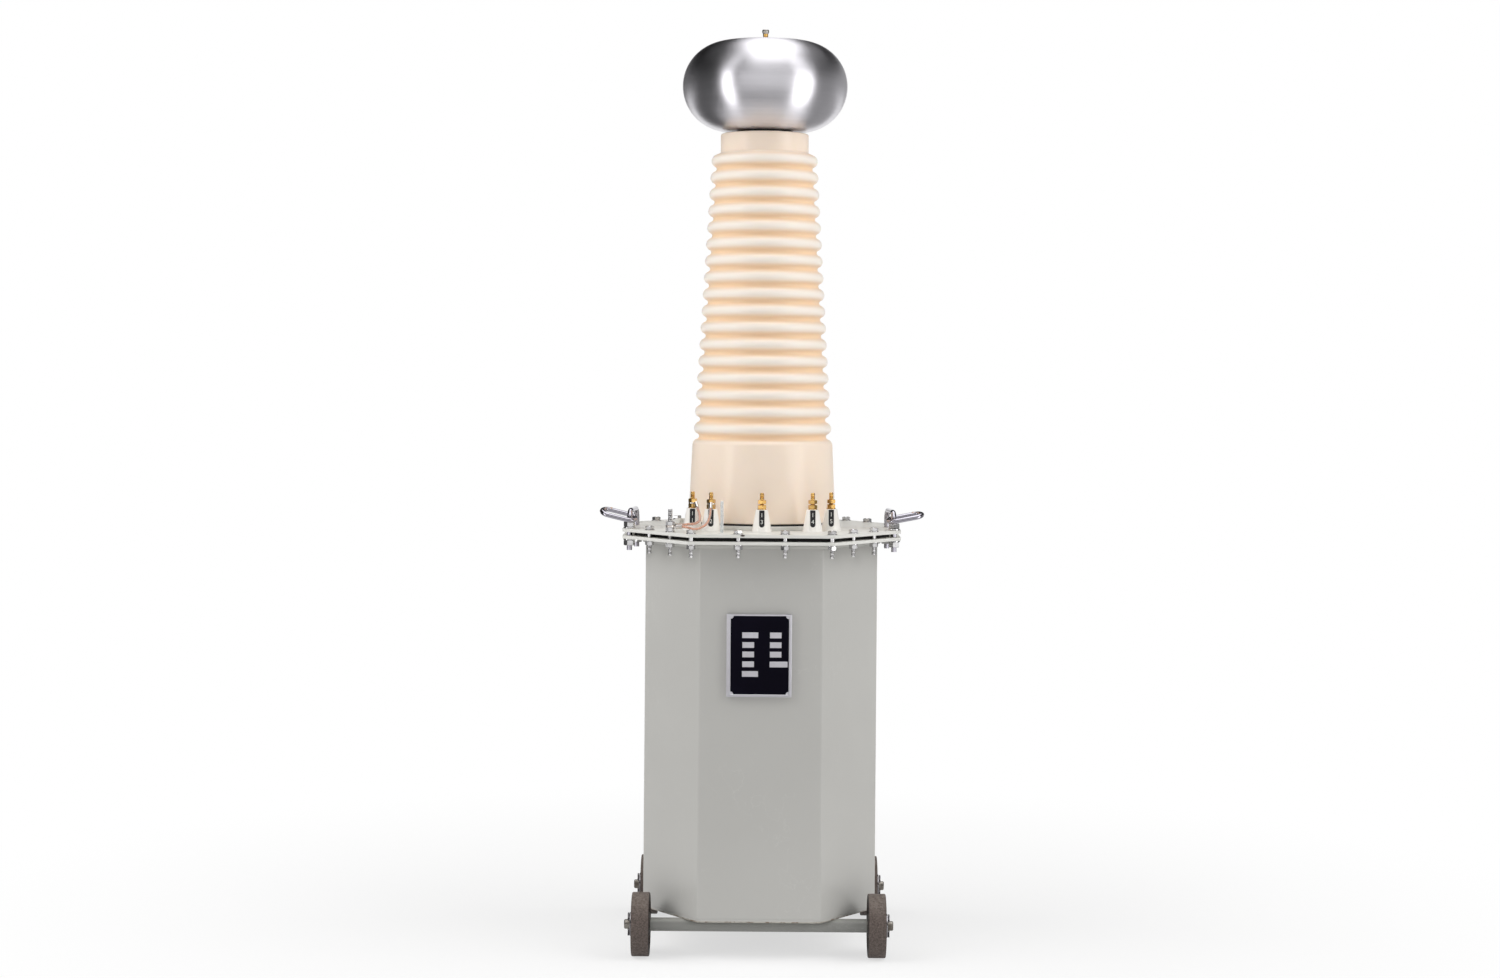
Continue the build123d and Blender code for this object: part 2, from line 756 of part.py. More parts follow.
with BuildPart() as nameplate:
    with BuildSketch(frame_plane.offset(nameplate_frame_depth - nameplate_recess)) as panel:
        Rectangle(frame_inner_width - 2 * nameplate_clearance, frame_inner_height - 2 * nameplate_clearance)
        with Locations(*[vertex.center() - panel.face().center() for vertex in panel.vertices()]):
            Circle(nameplate_notch, mode=Mode.SUBTRACT)
    extrude(amount=nameplate_thickness)

# Axle tubes, welded under the floor
axle_tubes = {}
axle_rods = {}
for name, side in (("front", -1), ("rear", 1)):
    axle_plane = Plane(
        origin=(-axle_tube_half, side * axle_y, axle_height), x_dir=(0, 1, 0), z_dir=(1, 0, 0)
    )
    with BuildPart() as tube:
        with BuildSketch(axle_plane):
            Circle(axle_tube_radius)
        extrude(amount=2 * axle_tube_half)
        with BuildSketch(axle_plane.offset(axle_tube_half)):
            with BuildLine():
                weld_top = axle_tube_radius + floor_gap
                Polyline(
                    (-axle_weld_half_width, weld_top),
                    (axle_weld_half_width, weld_top),
                    (axle_weld_half_width * 0.9, weld_top - axle_weld_height),
                    (-axle_weld_half_width * 0.9, weld_top - axle_weld_height),
                    close=True,
                )
            make_face()
        extrude(amount=tank_front_half, both=True)
        with BuildSketch(axle_plane):
            Circle(axle_tube_radius - axle_tube_wall)
        extrude(amount=2 * axle_tube_half, mode=Mode.SUBTRACT)
    axle_tubes[name] = tube

    rod_plane = Plane(
        origin=(-axle_rod_half, side * axle_y, axle_height), x_dir=(0, 1, 0), z_dir=(1, 0, 0)
    )
    with BuildPart() as rod:
        with BuildSketch(rod_plane):
            Circle(axle_rod_radius)
        extrude(amount=2 * axle_rod_half)
        chamfer(rod.edges().filter_by(GeomType.CIRCLE), length=1.0)
        with BuildSketch(Plane.XY.offset(axle_height - axle_rod_radius)):
            with Locations((-split_pin_x, side * axle_y), (split_pin_x, side * axle_y)):
                Circle(split_pin_radius + thread_clearance)
        extrude(amount=2 * axle_rod_radius, mode=Mode.SUBTRACT)
    axle_rods[name] = rod

# Washers outside the wheels
wheel_places = [(side_x, side_y) for side_y in (-1, 1) for side_x in (-1, 1)]
with BuildPart() as axle_washers:
    for side_x, side_y in wheel_places:
        washer_plane = Plane(
            origin=(side_x * axle_washer_face, side_y * axle_y, axle_height),
            x_dir=(0, 1, 0),
            z_dir=(side_x, 0, 0),
        )
        with BuildSketch(washer_plane):
            Circle(axle_washer_radius)
            Circle(axle_rod_radius + thread_clearance, mode=Mode.SUBTRACT)
        extrude(amount=axle_washer_thickness)

# Split pins: an eye on top, a shank through the rod and two spread tails below
eye_radius = 2 * split_pin_radius
eye_height = axle_height + axle_rod_radius + eye_radius + split_pin_radius
tail_height = axle_height - axle_rod_radius - split_pin_radius
with BuildPart() as split_pins:
    for side_x, side_y in wheel_places:
        pin_x = side_x * split_pin_x
        pin_y = side_y * axle_y
        with BuildSketch(Plane.XY.offset(tail_height)):
            with Locations((pin_x, pin_y)):
                Circle(split_pin_radius)
        extrude(amount=eye_height - eye_radius - tail_height)
        with Locations(Location((pin_x, pin_y, eye_height), (0, 90, 0))):
            Torus(eye_radius, split_pin_radius * 0.8)
        for spread in (-split_pin_spread, split_pin_spread):
            tail_way = Vector(0, sin(radians(spread)), -cos(radians(spread)))
            with BuildSketch(Plane(origin=(pin_x, pin_y, tail_height), z_dir=tail_way)):
                Circle(split_pin_radius * 0.8)
            extrude(amount=split_pin_tail)

# Wheels: solid discs with a sunk web on both faces
wheels = {}
for side_x, side_y in wheel_places:
    name = ("front" if side_y < 0 else "rear") + "_" + ("left" if side_x < 0 else "right")
    wheel_plane = Plane(
        origin=(side_x * wheel_inner_face, side_y * axle_y, axle_height),
        x_dir=(0, 1, 0),
        z_dir=(side_x, 0, 0),
    )
    with BuildPart() as wheel:
        with BuildSketch(wheel_plane):
            Circle(wheel_radius)
        extrude(amount=wheel_width)
        chamfer(wheel.edges().filter_by(GeomType.CIRCLE), length=wheel_edge)
        for depth, way in ((0, 1), (wheel_width, -1)):
            with BuildSketch(wheel_plane.offset(depth)):
                Circle(wheel_radius - wheel_rim_depth)
                Circle(wheel_hub_radius, mode=Mode.SUBTRACT)
            extrude(amount=way * wheel_recess_depth, mode=Mode.SUBTRACT)
        with BuildSketch(wheel_plane):
            Circle(axle_rod_radius + running_clearance)
        extrude(amount=wheel_width, mode=Mode.SUBTRACT)
    wheels[name] = wheel

# Every piece under the name of its node
pieces = {
    "tank_shell": tank_shell,
    "tank_floor": tank_floor,
    "flange_weld": flange_weld,
    "tank_flange": tank_flange,
    "flange_gasket": flange_gasket,
    "lid": lid,
    "lid_bolts": lid_bolts,
    "lid_bolt_nuts": lid_bolt_nuts,
    "staple_nuts": staple_nuts,
    "bushing_base_ring": bushing_base_ring,
    "bushing_gasket": bushing_gasket,
    "bushing": bushing,
    "electrode_collar": electrode_collar,
    "electrode": electrode,
    "top_terminal": top_terminal,
    "terminal_insulators": terminal_insulators,
    "terminal_labels": terminal_labels,
    "terminal_studs": terminal_studs,
    "earth_stud": earth_stud,
    "earth_lead_front": earth_lead_front,
    "earth_lead_rear": earth_lead_rear,
    "oil_filler_plug": oil_filler_plug,
    "level_tube": level_tube,
    "nameplate_frame": nameplate_frame,
    "nameplate": nameplate,
    "axle_washers": axle_washers,
    "split_pins": split_pins,
}
pieces.update(lugs)
pieces.update({"lifting_staple_" + name: staple for name, staple in staples.items()})
pieces.update({"lifting_link_" + name: link for name, link in links.items()})
pieces.update({name + "_axle_tube": tube for name, tube in axle_tubes.items()})
pieces.update({name + "_axle_rod": rod for name, rod in axle_rods.items()})
pieces.update({"wheel_" + name: wheel for name, wheel in wheels.items()})

for name, piece in pieces.items():
    piece.part.label = name
    export_step(piece.part, "parts/" + name + ".step")
    print(name, "volume", round(piece.part.volume))
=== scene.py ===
"""Finishes and fine detail of the oil-immersed test transformer.

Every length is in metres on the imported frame: Z up, front face towards -Y, origin on the
ground under the bushing axis. Each sub-assembly is a class that builds its meshes and
dresses them and the solids that stay.
"""
import logging
import math
from collections.abc import Callable, Sequence
from dataclasses import dataclass, field
from enum import Enum
from functools import cached_property, partial

import bmesh
import bpy
from mathutils import Matrix, Vector


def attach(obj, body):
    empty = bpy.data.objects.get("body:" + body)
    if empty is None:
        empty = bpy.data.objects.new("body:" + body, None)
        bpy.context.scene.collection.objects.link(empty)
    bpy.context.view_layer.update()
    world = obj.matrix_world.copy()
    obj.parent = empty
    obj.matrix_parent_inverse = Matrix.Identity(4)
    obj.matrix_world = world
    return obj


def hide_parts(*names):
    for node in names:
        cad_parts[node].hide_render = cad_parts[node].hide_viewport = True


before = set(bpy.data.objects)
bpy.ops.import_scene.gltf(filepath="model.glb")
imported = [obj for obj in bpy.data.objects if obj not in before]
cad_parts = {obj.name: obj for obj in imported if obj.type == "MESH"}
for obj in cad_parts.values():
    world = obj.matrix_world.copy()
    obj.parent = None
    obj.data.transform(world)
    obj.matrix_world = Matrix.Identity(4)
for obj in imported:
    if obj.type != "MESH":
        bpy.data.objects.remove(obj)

log = logging.getLogger("transformer")
TURN = 2 * math.pi
TANK = "tank"
LID_TOP = 0.539
FLANGE_BOTTOM = 0.526
M6_FLATS = 0.010
M6_NUT_BORE = 0.0027
M6_RADIUS = 0.003

Point = tuple[float, float]
Place = tuple[float, float, float]
Colour = tuple[int, int, int]
Ring = list[Vector]
Section = Callable[[float], list[Point]]
Mesh = bpy.types.Mesh
SIDES = (("left", -1), ("right", 1))

SHADER, GROWTH = "ShaderNodeTree", "GeometryNodeTree"
COLOUR, VALUE = "NodeSocketColor", "NodeSocketFloat"
GEOMETRY, OBJECT, MATERIAL = "NodeSocketGeometry", "NodeSocketObject", "NodeSocketMaterial"


# Node trees


class Wire:
    """A node's output, which adds Math nodes to its tree when it is reckoned with."""

    def __init__(self, hand: "TreeHand", socket: bpy.types.NodeSocket) -> None:
        """Keeps the output and the hand on its tree."""
        self.hand = hand
        self.socket = socket

    def __add__(self, other: object) -> "Wire":
        """Returns the sum."""
        return self.hand.maths("ADD", self, other)

    def __sub__(self, other: object) -> "Wire":
        """Returns the difference."""
        return self.hand.maths("SUBTRACT", self, other)

    def __rsub__(self, other: float) -> "Wire":
        """Returns the difference from a plain number."""
        return self.hand.maths("SUBTRACT", other, self)

    def __mul__(self, other: object) -> "Wire":
        """Returns the product."""
        return self.hand.maths("MULTIPLY", self, other)

    def __truediv__(self, other: object) -> "Wire":
        """Returns the quotient."""
        return self.hand.maths("DIVIDE", self, other)

    def __abs__(self) -> "Wire":
        """Returns the value without its sign."""
        return self.hand.maths("ABSOLUTE", self)


class TreeHand:
    """Adds nodes to one tree, sets their sockets and links them."""

    def __init__(self, tree: bpy.types.NodeTree) -> None:
        """Keeps the tree that the nodes go into."""
        self.tree = tree

    def put(self, socket: bpy.types.NodeSocket, value: object) -> None:
        """Links a wire to an input, or sets the input's plain value.

        Args:
            socket: the input.
            value: a wire, or a plain value.
        """
        if isinstance(value, Wire):
            self.tree.links.new(value.socket, socket)
        else:
            socket.default_value = value

    def node(self, kind: str, inputs: dict | None = None, **settings: object) -> bpy.types.Node:
        """Adds one node.

        Args:
            kind: name of the node type.
            inputs: socket name or number, and the plain value or wire for it.
            settings: properties of the node itself.

        Returns:
            The new node.
        """
        made = self.tree.nodes.new(kind)
        for key, value in settings.items():
            setattr(made, key, value)
        for key, value in (inputs or {}).items():
            self.put(made.inputs[key], value)
        return made

    def read(self, kind: str, output: str | int = 0, inputs: dict | None = None,
             **settings: object) -> Wire:
        """Adds one node, as node() does, and returns one of its outputs."""
        return Wire(self, self.node(kind, inputs, **settings).outputs[output])

    def outputs(self, node: bpy.types.Node) -> dict[str, Wire]:
        """Returns every output of a node by its name."""
        return {socket.name: Wire(self, socket) for socket in node.outputs}

    def maths(self, operation: str, *operands: object, clamp: bool = False) -> Wire:
        """Adds a Math node and returns its output."""
        return self.read("ShaderNodeMath", 0, dict(enumerate(operands)), operation=operation, use_clamp=clamp)

    def most(self, first: Wire, *others: Wire) -> Wire:
        """Returns the largest of several values.

        Args:
            first: one value.
            others: the values that it is compared with.

        Returns:
            The largest.
        """
        for other in others:
            first = self.maths("MAXIMUM", first, other)
        return first

    def vector(self, operation: str, *operands: object, output: str = "Vector") -> Wire:
        """Adds a Vector Math node and returns its output."""
        return self.read("ShaderNodeVectorMath", output, dict(enumerate(operands)), operation=operation)

    def join_xyz(self, x: object, y: object, z: object) -> Wire:
        """Combines three values to a vector."""
        return self.read("ShaderNodeCombineXYZ", 0, {0: x, 1: y, 2: z})

    def split_xyz(self, vector: Wire) -> list[Wire]:
        """Returns the three values of a vector."""
        return list(self.outputs(self.node("ShaderNodeSeparateXYZ", {0: vector})).values())

    def reach(self, x: Wire, y: Wire) -> Wire:
        """Returns the distance from the upright axis."""
        return self.maths("SQRT", x * x + y * y)

    def blend(self, share: object, first: object, second: object) -> Wire:
        """Mixes two colours and returns the colour."""
        return self.read("ShaderNodeMix", 2, {0: share, 6: first, 7: second}, data_type="RGBA")

    def span(self, value: Wire, low: float, high: float, to_low: float = 0.0,
             to_high: float = 1.0, smooth: bool = False) -> Wire:
        """Maps a value from one range to another, held at its ends.

        Args:
            value: the value.
            low: start of its range.
            high: end of its range.
            to_low: result at the start.
            to_high: result at the end.
            smooth: whether the result eases in and out.

        Returns:
            The mapped value.
        """
        return self.read(
            "ShaderNodeMapRange", 0, {0: value, 1: low, 2: high, 3: to_low, 4: to_high},
            interpolation_type="SMOOTHSTEP" if smooth else "LINEAR")

    def between(self, value: Wire, rise: Point, fall: Point, level: float = 1.0) -> Wire:
        """Returns a level that a value reaches over one range and leaves over another."""
        return self.span(value, *rise) * self.span(value, *fall, level, 0.0)

    def place(self) -> Wire:
        """Returns the Object coordinates."""
        return self.read("ShaderNodeTexCoord", "Object")

    def noise(self, vector: Wire, scale: object, detail: float = 2.0) -> Wire:
        """Returns the value of a noise texture."""
        return self.read("ShaderNodeTexNoise", 0, {"Vector": vector, "Scale": scale, "Detail": detail})

    def sweep(self, curve: Wire, corners: int, radius: Wire, more: dict) -> Wire:
        """Sweeps a round profile along a curve, with more inputs for the sweep."""
        profile = self.read("GeometryNodeCurvePrimitiveCircle", 0, {"Resolution": corners, "Radius": radius})
        return self.read("GeometryNodeCurveToMesh", 0, {"Curve": curve, "Profile Curve": profile, **more})

    def stepped_route(self, route: Wire, count: int) -> Wire:
        """Returns an object's curve with its points evenly spaced."""
        curve = self.read("GeometryNodeObjectInfo", "Geometry", {"Object": route})
        return self.read("GeometryNodeResampleCurve", 0, {"Curve": curve, "Count": count})

    def together(self, *parts: Wire) -> Wire:
        """Joins geometries, in their order.

        Args:
            parts: the geometries.

        Returns:
            The joined geometry.
        """
        both = self.node("GeometryNodeJoinGeometry")
        for part in parts:
            self.put(both.inputs[0], part)
        return Wire(self, both.outputs[0])


def linear(*seen: int) -> tuple[float, ...]:
    """Turns a colour of 0 to 255 as it is seen into the linear values that a socket takes.

    Args:
        seen: red, green and blue.

    Returns:
        The same colour with full alpha.
    """
    shares = [value / 255 for value in seen]
    values = [share / 12.92 if share <= 0.04045 else ((share + 0.055) / 1.055) ** 2.4 for share in shares]
    return (*values, 1.0)


def new_group(name: str, kind: str, inputs: dict[str, object],
              outputs: dict[str, str]) -> tuple[TreeHand, dict[str, Wire]]:
    """Starts a node group with named sockets.

    Args:
        name: the group's name.
        kind: SHADER or GROWTH.
        inputs: socket name, and its default value or its socket type.
        outputs: socket name and its type.

    Returns:
        A hand on the new tree, and the group's inputs by name.
    """
    types = {float: VALUE, int: "NodeSocketInt", tuple: COLOUR, Vector: "NodeSocketVector"}
    tree = bpy.data.node_groups.new(name, kind)
    for label, value in inputs.items():
        socket_type = value if isinstance(value, str) else types[type(value)]
        socket = tree.interface.new_socket(name=label, in_out="INPUT", socket_type=socket_type)
        if not isinstance(value, str):
            socket.default_value = value
    for label, socket_type in outputs.items():
        tree.interface.new_socket(name=label, in_out="OUTPUT", socket_type=socket_type)
    hand = TreeHand(tree)
    return hand, hand.outputs(hand.node("NodeGroupInput"))


# Shared surface effects


class Effects:
    """Shader groups that more than one finish uses, each built when first asked for."""

    def place(self, hand: TreeHand, group: bpy.types.NodeTree, **inputs: object) -> dict[str, Wire]:
        """Adds a group to a material with that material's own values and returns its outputs."""
        return hand.outputs(hand.node("ShaderNodeGroup", inputs, node_tree=group))

    @cached_property
    def patchy_tone(self) -> bpy.types.NodeTree:
        """Slow change between two close colours.

        Returns:
            The shader group.
        """
        grey = (0.5, 0.5, 0.5, 1.0)
        hand, given = new_group(
            "patchy_tone", SHADER, {"First": grey, "Second": grey, "Scale": 6.0, "Amount": 1.0},
            {"Colour": COLOUR, "Mask": VALUE})
        cloud = hand.noise(hand.place(), given["Scale"], 4.0)
        mask = hand.span(cloud, 0.35, 0.68, smooth=True) * given["Amount"]
        colour = hand.blend(mask, given["First"], given["Second"])
        hand.node("NodeGroupOutput", {"Colour": colour, "Mask": mask})
        return hand.tree

    @cached_property
    def fine_grain(self) -> bpy.types.NodeTree:
        """Small even bumps, such as the orange peel of enamel or the skin of rubber.

        Returns:
            The shader group.
        """
        hand, given = new_group("fine_grain", SHADER, {"Scale": 900.0, "Waviness": 0.5}, {"Height": VALUE})
        place, scale = hand.place(), given["Scale"]
        waves = hand.noise(place, scale * 0.11, 1.0) * given["Waviness"]
        hand.node("NodeGroupOutput", {"Height": hand.noise(place, scale) + waves})
        return hand.tree

    @cached_property
    def settled_dust(self) -> bpy.types.NodeTree:
        """Thin dust that lies on faces that look upwards.

        Returns:
            The shader group.
        """
        hand, given = new_group("settled_dust", SHADER, {"Amount": 0.3, "Scale": 30.0}, {"Mask": VALUE})
        up = hand.split_xyz(hand.read("ShaderNodeNewGeometry", "Normal"))[2]
        cloud = hand.span(hand.noise(hand.place(), given["Scale"], 6.0), 0.3, 0.75)
        lying = hand.span(up, 0.35, 0.95, smooth=True) * cloud
        hand.node("NodeGroupOutput", {"Mask": hand.maths("MULTIPLY", lying, given["Amount"], clamp=True)})
        return hand.tree

    @cached_property
    def turned_lines(self) -> bpy.types.NodeTree:
        """Fine tool lines that run round the upright axis.

        Returns:
            The shader group.
        """
        hand, given = new_group(
            "turned_lines", SHADER, {"Lines": 900.0, "Wander": 3.0}, {"Height": VALUE, "Tone": VALUE})
        x, y, z = hand.split_xyz(hand.place())
        lines = (hand.reach(x, y) * 0.8 + z) * given["Lines"]
        angle = hand.maths("ARCTAN2", y, x)
        around = [hand.maths(way, angle) * given["Wander"] for way in ("COSINE", "SINE")]
        fine = hand.noise(hand.join_xyz(lines, *around), 1.0, 4.0)
        slow = hand.noise(hand.join_xyz(lines * 0.06, *around), 1.0, 3.0)
        hand.node("NodeGroupOutput", {"Height": fine, "Tone": slow})
        return hand.tree

    @cached_property
    def scratches(self) -> bpy.types.NodeTree:
        """Sparse hairline scuffs.

        Returns:
            The shader group.
        """
        hand, given = new_group("scratches", SHADER, {"Scale": 60.0, "Amount": 0.4}, {"Mask": VALUE})
        place = hand.place()
        cloud = hand.read("ShaderNodeTexNoise", 1, {"Vector": place, "Scale": 14.0})
        bent = hand.vector("ADD", place, hand.vector("MULTIPLY", cloud, (0.02, 0.02, 0.02)))
        line = hand.noise(hand.vector("MULTIPLY", bent, (1.0, 6.0, 0.7)), given["Scale"], 6.0)
        thin = hand.span(abs(line - 0.5), 0.0, 0.012, 1.0, 0.0)
        seldom = hand.span(hand.noise(place, 9.0), 0.52, 0.7)
        hand.node("NodeGroupOutput", {"Mask": thin * seldom * given["Amount"]})
        return hand.tree

    @cached_property
    def spot(self) -> bpy.types.NodeTree:
        """One ragged spot, such as a chip in the enamel.

        Returns:
            The shader group.
        """
        hand, given = new_group(
            "spot", SHADER, {"Centre": Vector((0, 0, 0)), "Radius": 0.002, "Flatness": 0.5}, {"Mask": VALUE})
        place = hand.place()
        x, y, z = hand.split_xyz(hand.vector("SUBTRACT", place, given["Centre"]))
        length = hand.vector("LENGTH", hand.join_xyz(x, y, z / given["Flatness"]), output="Value")
        ragged = length + hand.noise(place, 1400.0, 3.0) * 0.0012
        hand.node("NodeGroupOutput", {"Mask": hand.span(ragged / given["Radius"], 0.8, 1.25, 1.0, 0.0)})
        return hand.tree


EFFECTS = Effects()


# Finishes


@dataclass(frozen=True)
class Finish:
    """What every finish has: its name, its colour as seen and its roughness."""

    name: str
    colour: Colour
    roughness: float = 0.4

    def start(self, plain: dict[str, object]) -> tuple[bpy.types.Material, TreeHand, bpy.types.Node]:
        """Makes the material with its Principled shader.

        Args:
            plain: values that are the same all over, by socket name.

        Returns:
            The material, a hand on its tree and the shader node.
        """
        material = bpy.data.materials.new(self.name)
        material.use_nodes = True
        material.node_tree.nodes.clear()
        hand = TreeHand(material.node_tree)
        shader = hand.node("ShaderNodeBsdfPrincipled", {"Roughness": self.roughness, **plain})
        hand.node("ShaderNodeOutputMaterial", {"Surface": Wire(hand, shader.outputs[0])})
        return material, hand, shader

    def close_tones(self, lighter: float) -> tuple[tuple[float, ...], tuple[float, ...]]:
        """Returns the colour and one a little lighter, both linear."""
        own = linear(*self.colour)
        return own, (*(min(1.0, value * lighter) for value in own[:3]), 1.0)

    def toned(self, hand: TreeHand, second: Colour | float, scale: float,
              amount: float = 1.0) -> dict[str, Wire]:
        """Adds patches of a second colour, or of one lighter by a factor.

        Args:
            hand: the material's tree.
            second: the colour as seen, or the factor.
            scale: scale of the patches.
            amount: how much of the second colour shows.

        Returns:
            The effect's outputs, Colour and Mask.
        """
        first, other = self.close_tones(second) if isinstance(second, float) else (
            linear(*self.colour), linear(*second))
        return EFFECTS.place(hand, EFFECTS.patchy_tone, First=first, Second=other, Scale=scale, Amount=amount)

    def overlaid(self, hand: TreeHand, under: Wire, colour: Colour, effect: bpy.types.NodeTree,
                 **inputs: object) -> tuple[Wire, Wire]:
        """Lays one colour over another where an effect's mask has it.

        Args:
            hand: the material's tree.
            under: the colour below.
            colour: the colour above, as seen.
            effect: the effect's group.
            inputs: the effect's own values.

        Returns:
            The mixed colour and the mask.
        """
        mask = EFFECTS.place(hand, effect, **inputs)["Mask"]
        return hand.blend(mask, under, linear(*colour)), mask

    def cover(self, hand: TreeHand, shader: bpy.types.Node, colour: Wire, rough: Wire,
              height: Wire, depth: float) -> None:
        """Links colour and roughness to the shader and bumps the surface.

        Args:
            hand: the material's tree.
            shader: its shader.
            colour: the colour all over.
            rough: the roughness.
            height: the bumps' height, of 0 to 1.
            depth: the length that a height of 1 stands for.
        """
        bump = hand.read("ShaderNodeBump", 0, {"Strength": 1.0, "Distance": depth, "Height": height})
        for label, wire in (("Base Color", colour), ("Roughness", rough), ("Normal", bump)):
            hand.put(shader.inputs[label], wire)


@dataclass(frozen=True)
class Enamel(Finish):
    """Sprayed enamel on sheet steel, with orange peel, thin dust, scuffs, rust and chips."""

    peel: float = 0.00006
    dust: float = 0.35
    rust: float = 0.0
    chips: tuple[tuple[float, float, float, float], ...] = ()

    def build(self) -> bpy.types.Material:
        """Returns the enamel material."""
        material, hand, shader = self.start({"Coat Weight": 0.15, "Coat Roughness": 0.15, "IOR": 1.45})
        tone = self.toned(hand, 1.05, 3.2)
        colour, dust = self.overlaid(
            hand, tone["Colour"], (214, 212, 204), EFFECTS.settled_dust, Amount=self.dust, Scale=26.0)
        colour, _ = self.overlaid(hand, colour, (222, 222, 218), EFFECTS.scratches, Scale=38.0, Amount=0.22)
        if self.rust:
            patch = hand.span(hand.noise(hand.place(), 170.0, 4.0), 0.48, 0.62, 0.0, self.rust)
            colour = hand.blend(patch, colour, linear(108, 86, 64))
        for *centre, radius in self.chips:
            colour, _ = self.overlaid(hand, colour, (62, 52, 46), EFFECTS.spot, Centre=centre, Radius=radius)
        rough = dust * 0.3 + self.roughness + tone["Mask"] * 0.05
        grain = EFFECTS.place(hand, EFFECTS.fine_grain, Scale=620.0, Waviness=1.6)
        self.cover(hand, shader, colour, rough, grain["Height"], self.peel)
        return material


@dataclass(frozen=True)
class CastResin(Finish):
    """Cream cast resin, with a painted highlight on the sheds' crests and painted warm shade in the grooves
    between them.
    """

    groove_colour: Colour = (248, 217, 181)
    crest_colour: Colour = (250, 240, 229)
    crest_radius: float = 0.0906
    crest_height: float = 0.6684
    taper: float = 0.0585
    groove_depth: float = 0.0074
    ribs: Point = (0.650, 1.029)

    def build(self) -> bpy.types.Material:
        """Returns the resin material."""
        material, hand, shader = self.start({
            "Coat Weight": 0.25, "Coat Roughness": 0.22, "IOR": 1.45, "Subsurface Weight": 0.12,
            "Subsurface Radius": (0.006, 0.004, 0.002), "Subsurface Scale": 1.0})
        tone = self.toned(hand, 1.04, 9.0)
        x, y, z = hand.split_xyz(hand.place())
        crests = self.crest_radius - (z - self.crest_height) * self.taper
        depth = hand.maths("DIVIDE", crests - hand.reach(x, y), self.groove_depth, clamp=True)
        low, high = self.ribs
        ribbed = hand.between(z, (low, low + 0.004), (high - 0.003, high))
        # painted light: a painted highlight pales the crests and painted warm shade darkens the grooves, by
        # depth below the crest line; the groove mask also roughens them
        groove_shade = hand.maths("POWER", depth, 1.3) * ribbed
        crest = hand.span(depth, 0.0, 0.4, 1.0, 0.0) * ribbed
        colour = hand.blend(crest, tone["Colour"], linear(*self.crest_colour))
        colour = hand.blend(groove_shade, colour, linear(*self.groove_colour))
        colour, _ = self.overlaid(
            hand, colour, (226, 214, 198), EFFECTS.settled_dust, Amount=0.16, Scale=60.0)
        lines = EFFECTS.place(hand, EFFECTS.turned_lines, Lines=420.0, Wander=1.5)
        self.cover(hand, shader, colour, groove_shade * 0.12 + self.roughness, lines["Tone"], 0.00008)
        return material


@dataclass(frozen=True)
class SpunMetal(Finish):
    """Metal spun or turned about the upright axis, brushed round it."""

    lines: float = 2600.0
    depth: float = 0.00002
    stretch: float = 0.7

    def build(self) -> bpy.types.Material:
        """Returns the spun metal material."""
        material, hand, shader = self.start({
            "Metallic": 1.0, "Anisotropic": self.stretch, "Anisotropic Rotation": 0.25})
        lines = EFFECTS.place(hand, EFFECTS.turned_lines, Lines=self.lines, Wander=1.2)
        colour = hand.blend(lines["Tone"], *self.close_tones(1.16))
        colour, _ = self.overlaid(hand, colour, (236, 236, 234), EFFECTS.scratches, Scale=55.0, Amount=0.25)
        self.cover(hand, shader, colour, lines["Height"] * 0.16 + self.roughness, lines["Height"], self.depth)
        return material


@dataclass(frozen=True)
class BareMetal(Finish):
    """Plated, drawn or cast metal without a turned pattern."""

    grain: float = 700.0
    depth: float = 0.00002
    tarnish: Colour = (120, 118, 112)
    tarnish_share: float = 0.25

    def build(self) -> bpy.types.Material:
        """Returns the bare metal material."""
        material, hand, shader = self.start({"Metallic": 1.0})
        tone = self.toned(hand, self.tarnish, 90.0, self.tarnish_share)
        colour, _ = self.overlaid(
            hand, tone["Colour"], (238, 238, 236), EFFECTS.scratches, Scale=160.0, Amount=0.3)
        grain = EFFECTS.place(hand, EFFECTS.fine_grain, Scale=self.grain, Waviness=0.6)
        self.cover(hand, shader, colour, tone["Mask"] * 0.35 + self.roughness, grain["Height"], self.depth)
        return material


@dataclass(frozen=True)
class Moulded(Finish):
    """Rubber or plastic from a mould, with its skin and the dust that clings to it."""

    second: Colour = (60, 58, 56)
    patch_scale: float = 40.0
    patch_share: float = 0.5
    grain: float = 800.0
    depth: float = 0.00005
    dust: float = 0.2
    coat: float = 0.0
    gloss: float = 0.5

    def build(self) -> bpy.types.Material:
        """Returns the moulded material."""
        material, hand, shader = self.start({
            "Coat Weight": self.coat, "Coat Roughness": 0.12, "Specular IOR Level": self.gloss})
        tone = self.toned(hand, self.second, self.patch_scale, self.patch_share)
        colour, _ = self.overlaid(
            hand, tone["Colour"], (176, 166, 156), EFFECTS.settled_dust, Amount=self.dust, Scale=70.0)
        grain = EFFECTS.place(hand, EFFECTS.fine_grain, Scale=self.grain, Waviness=1.0)
        self.cover(hand, shader, colour, tone["Mask"] * 0.1 + self.roughness, grain["Height"], self.depth)
        return material


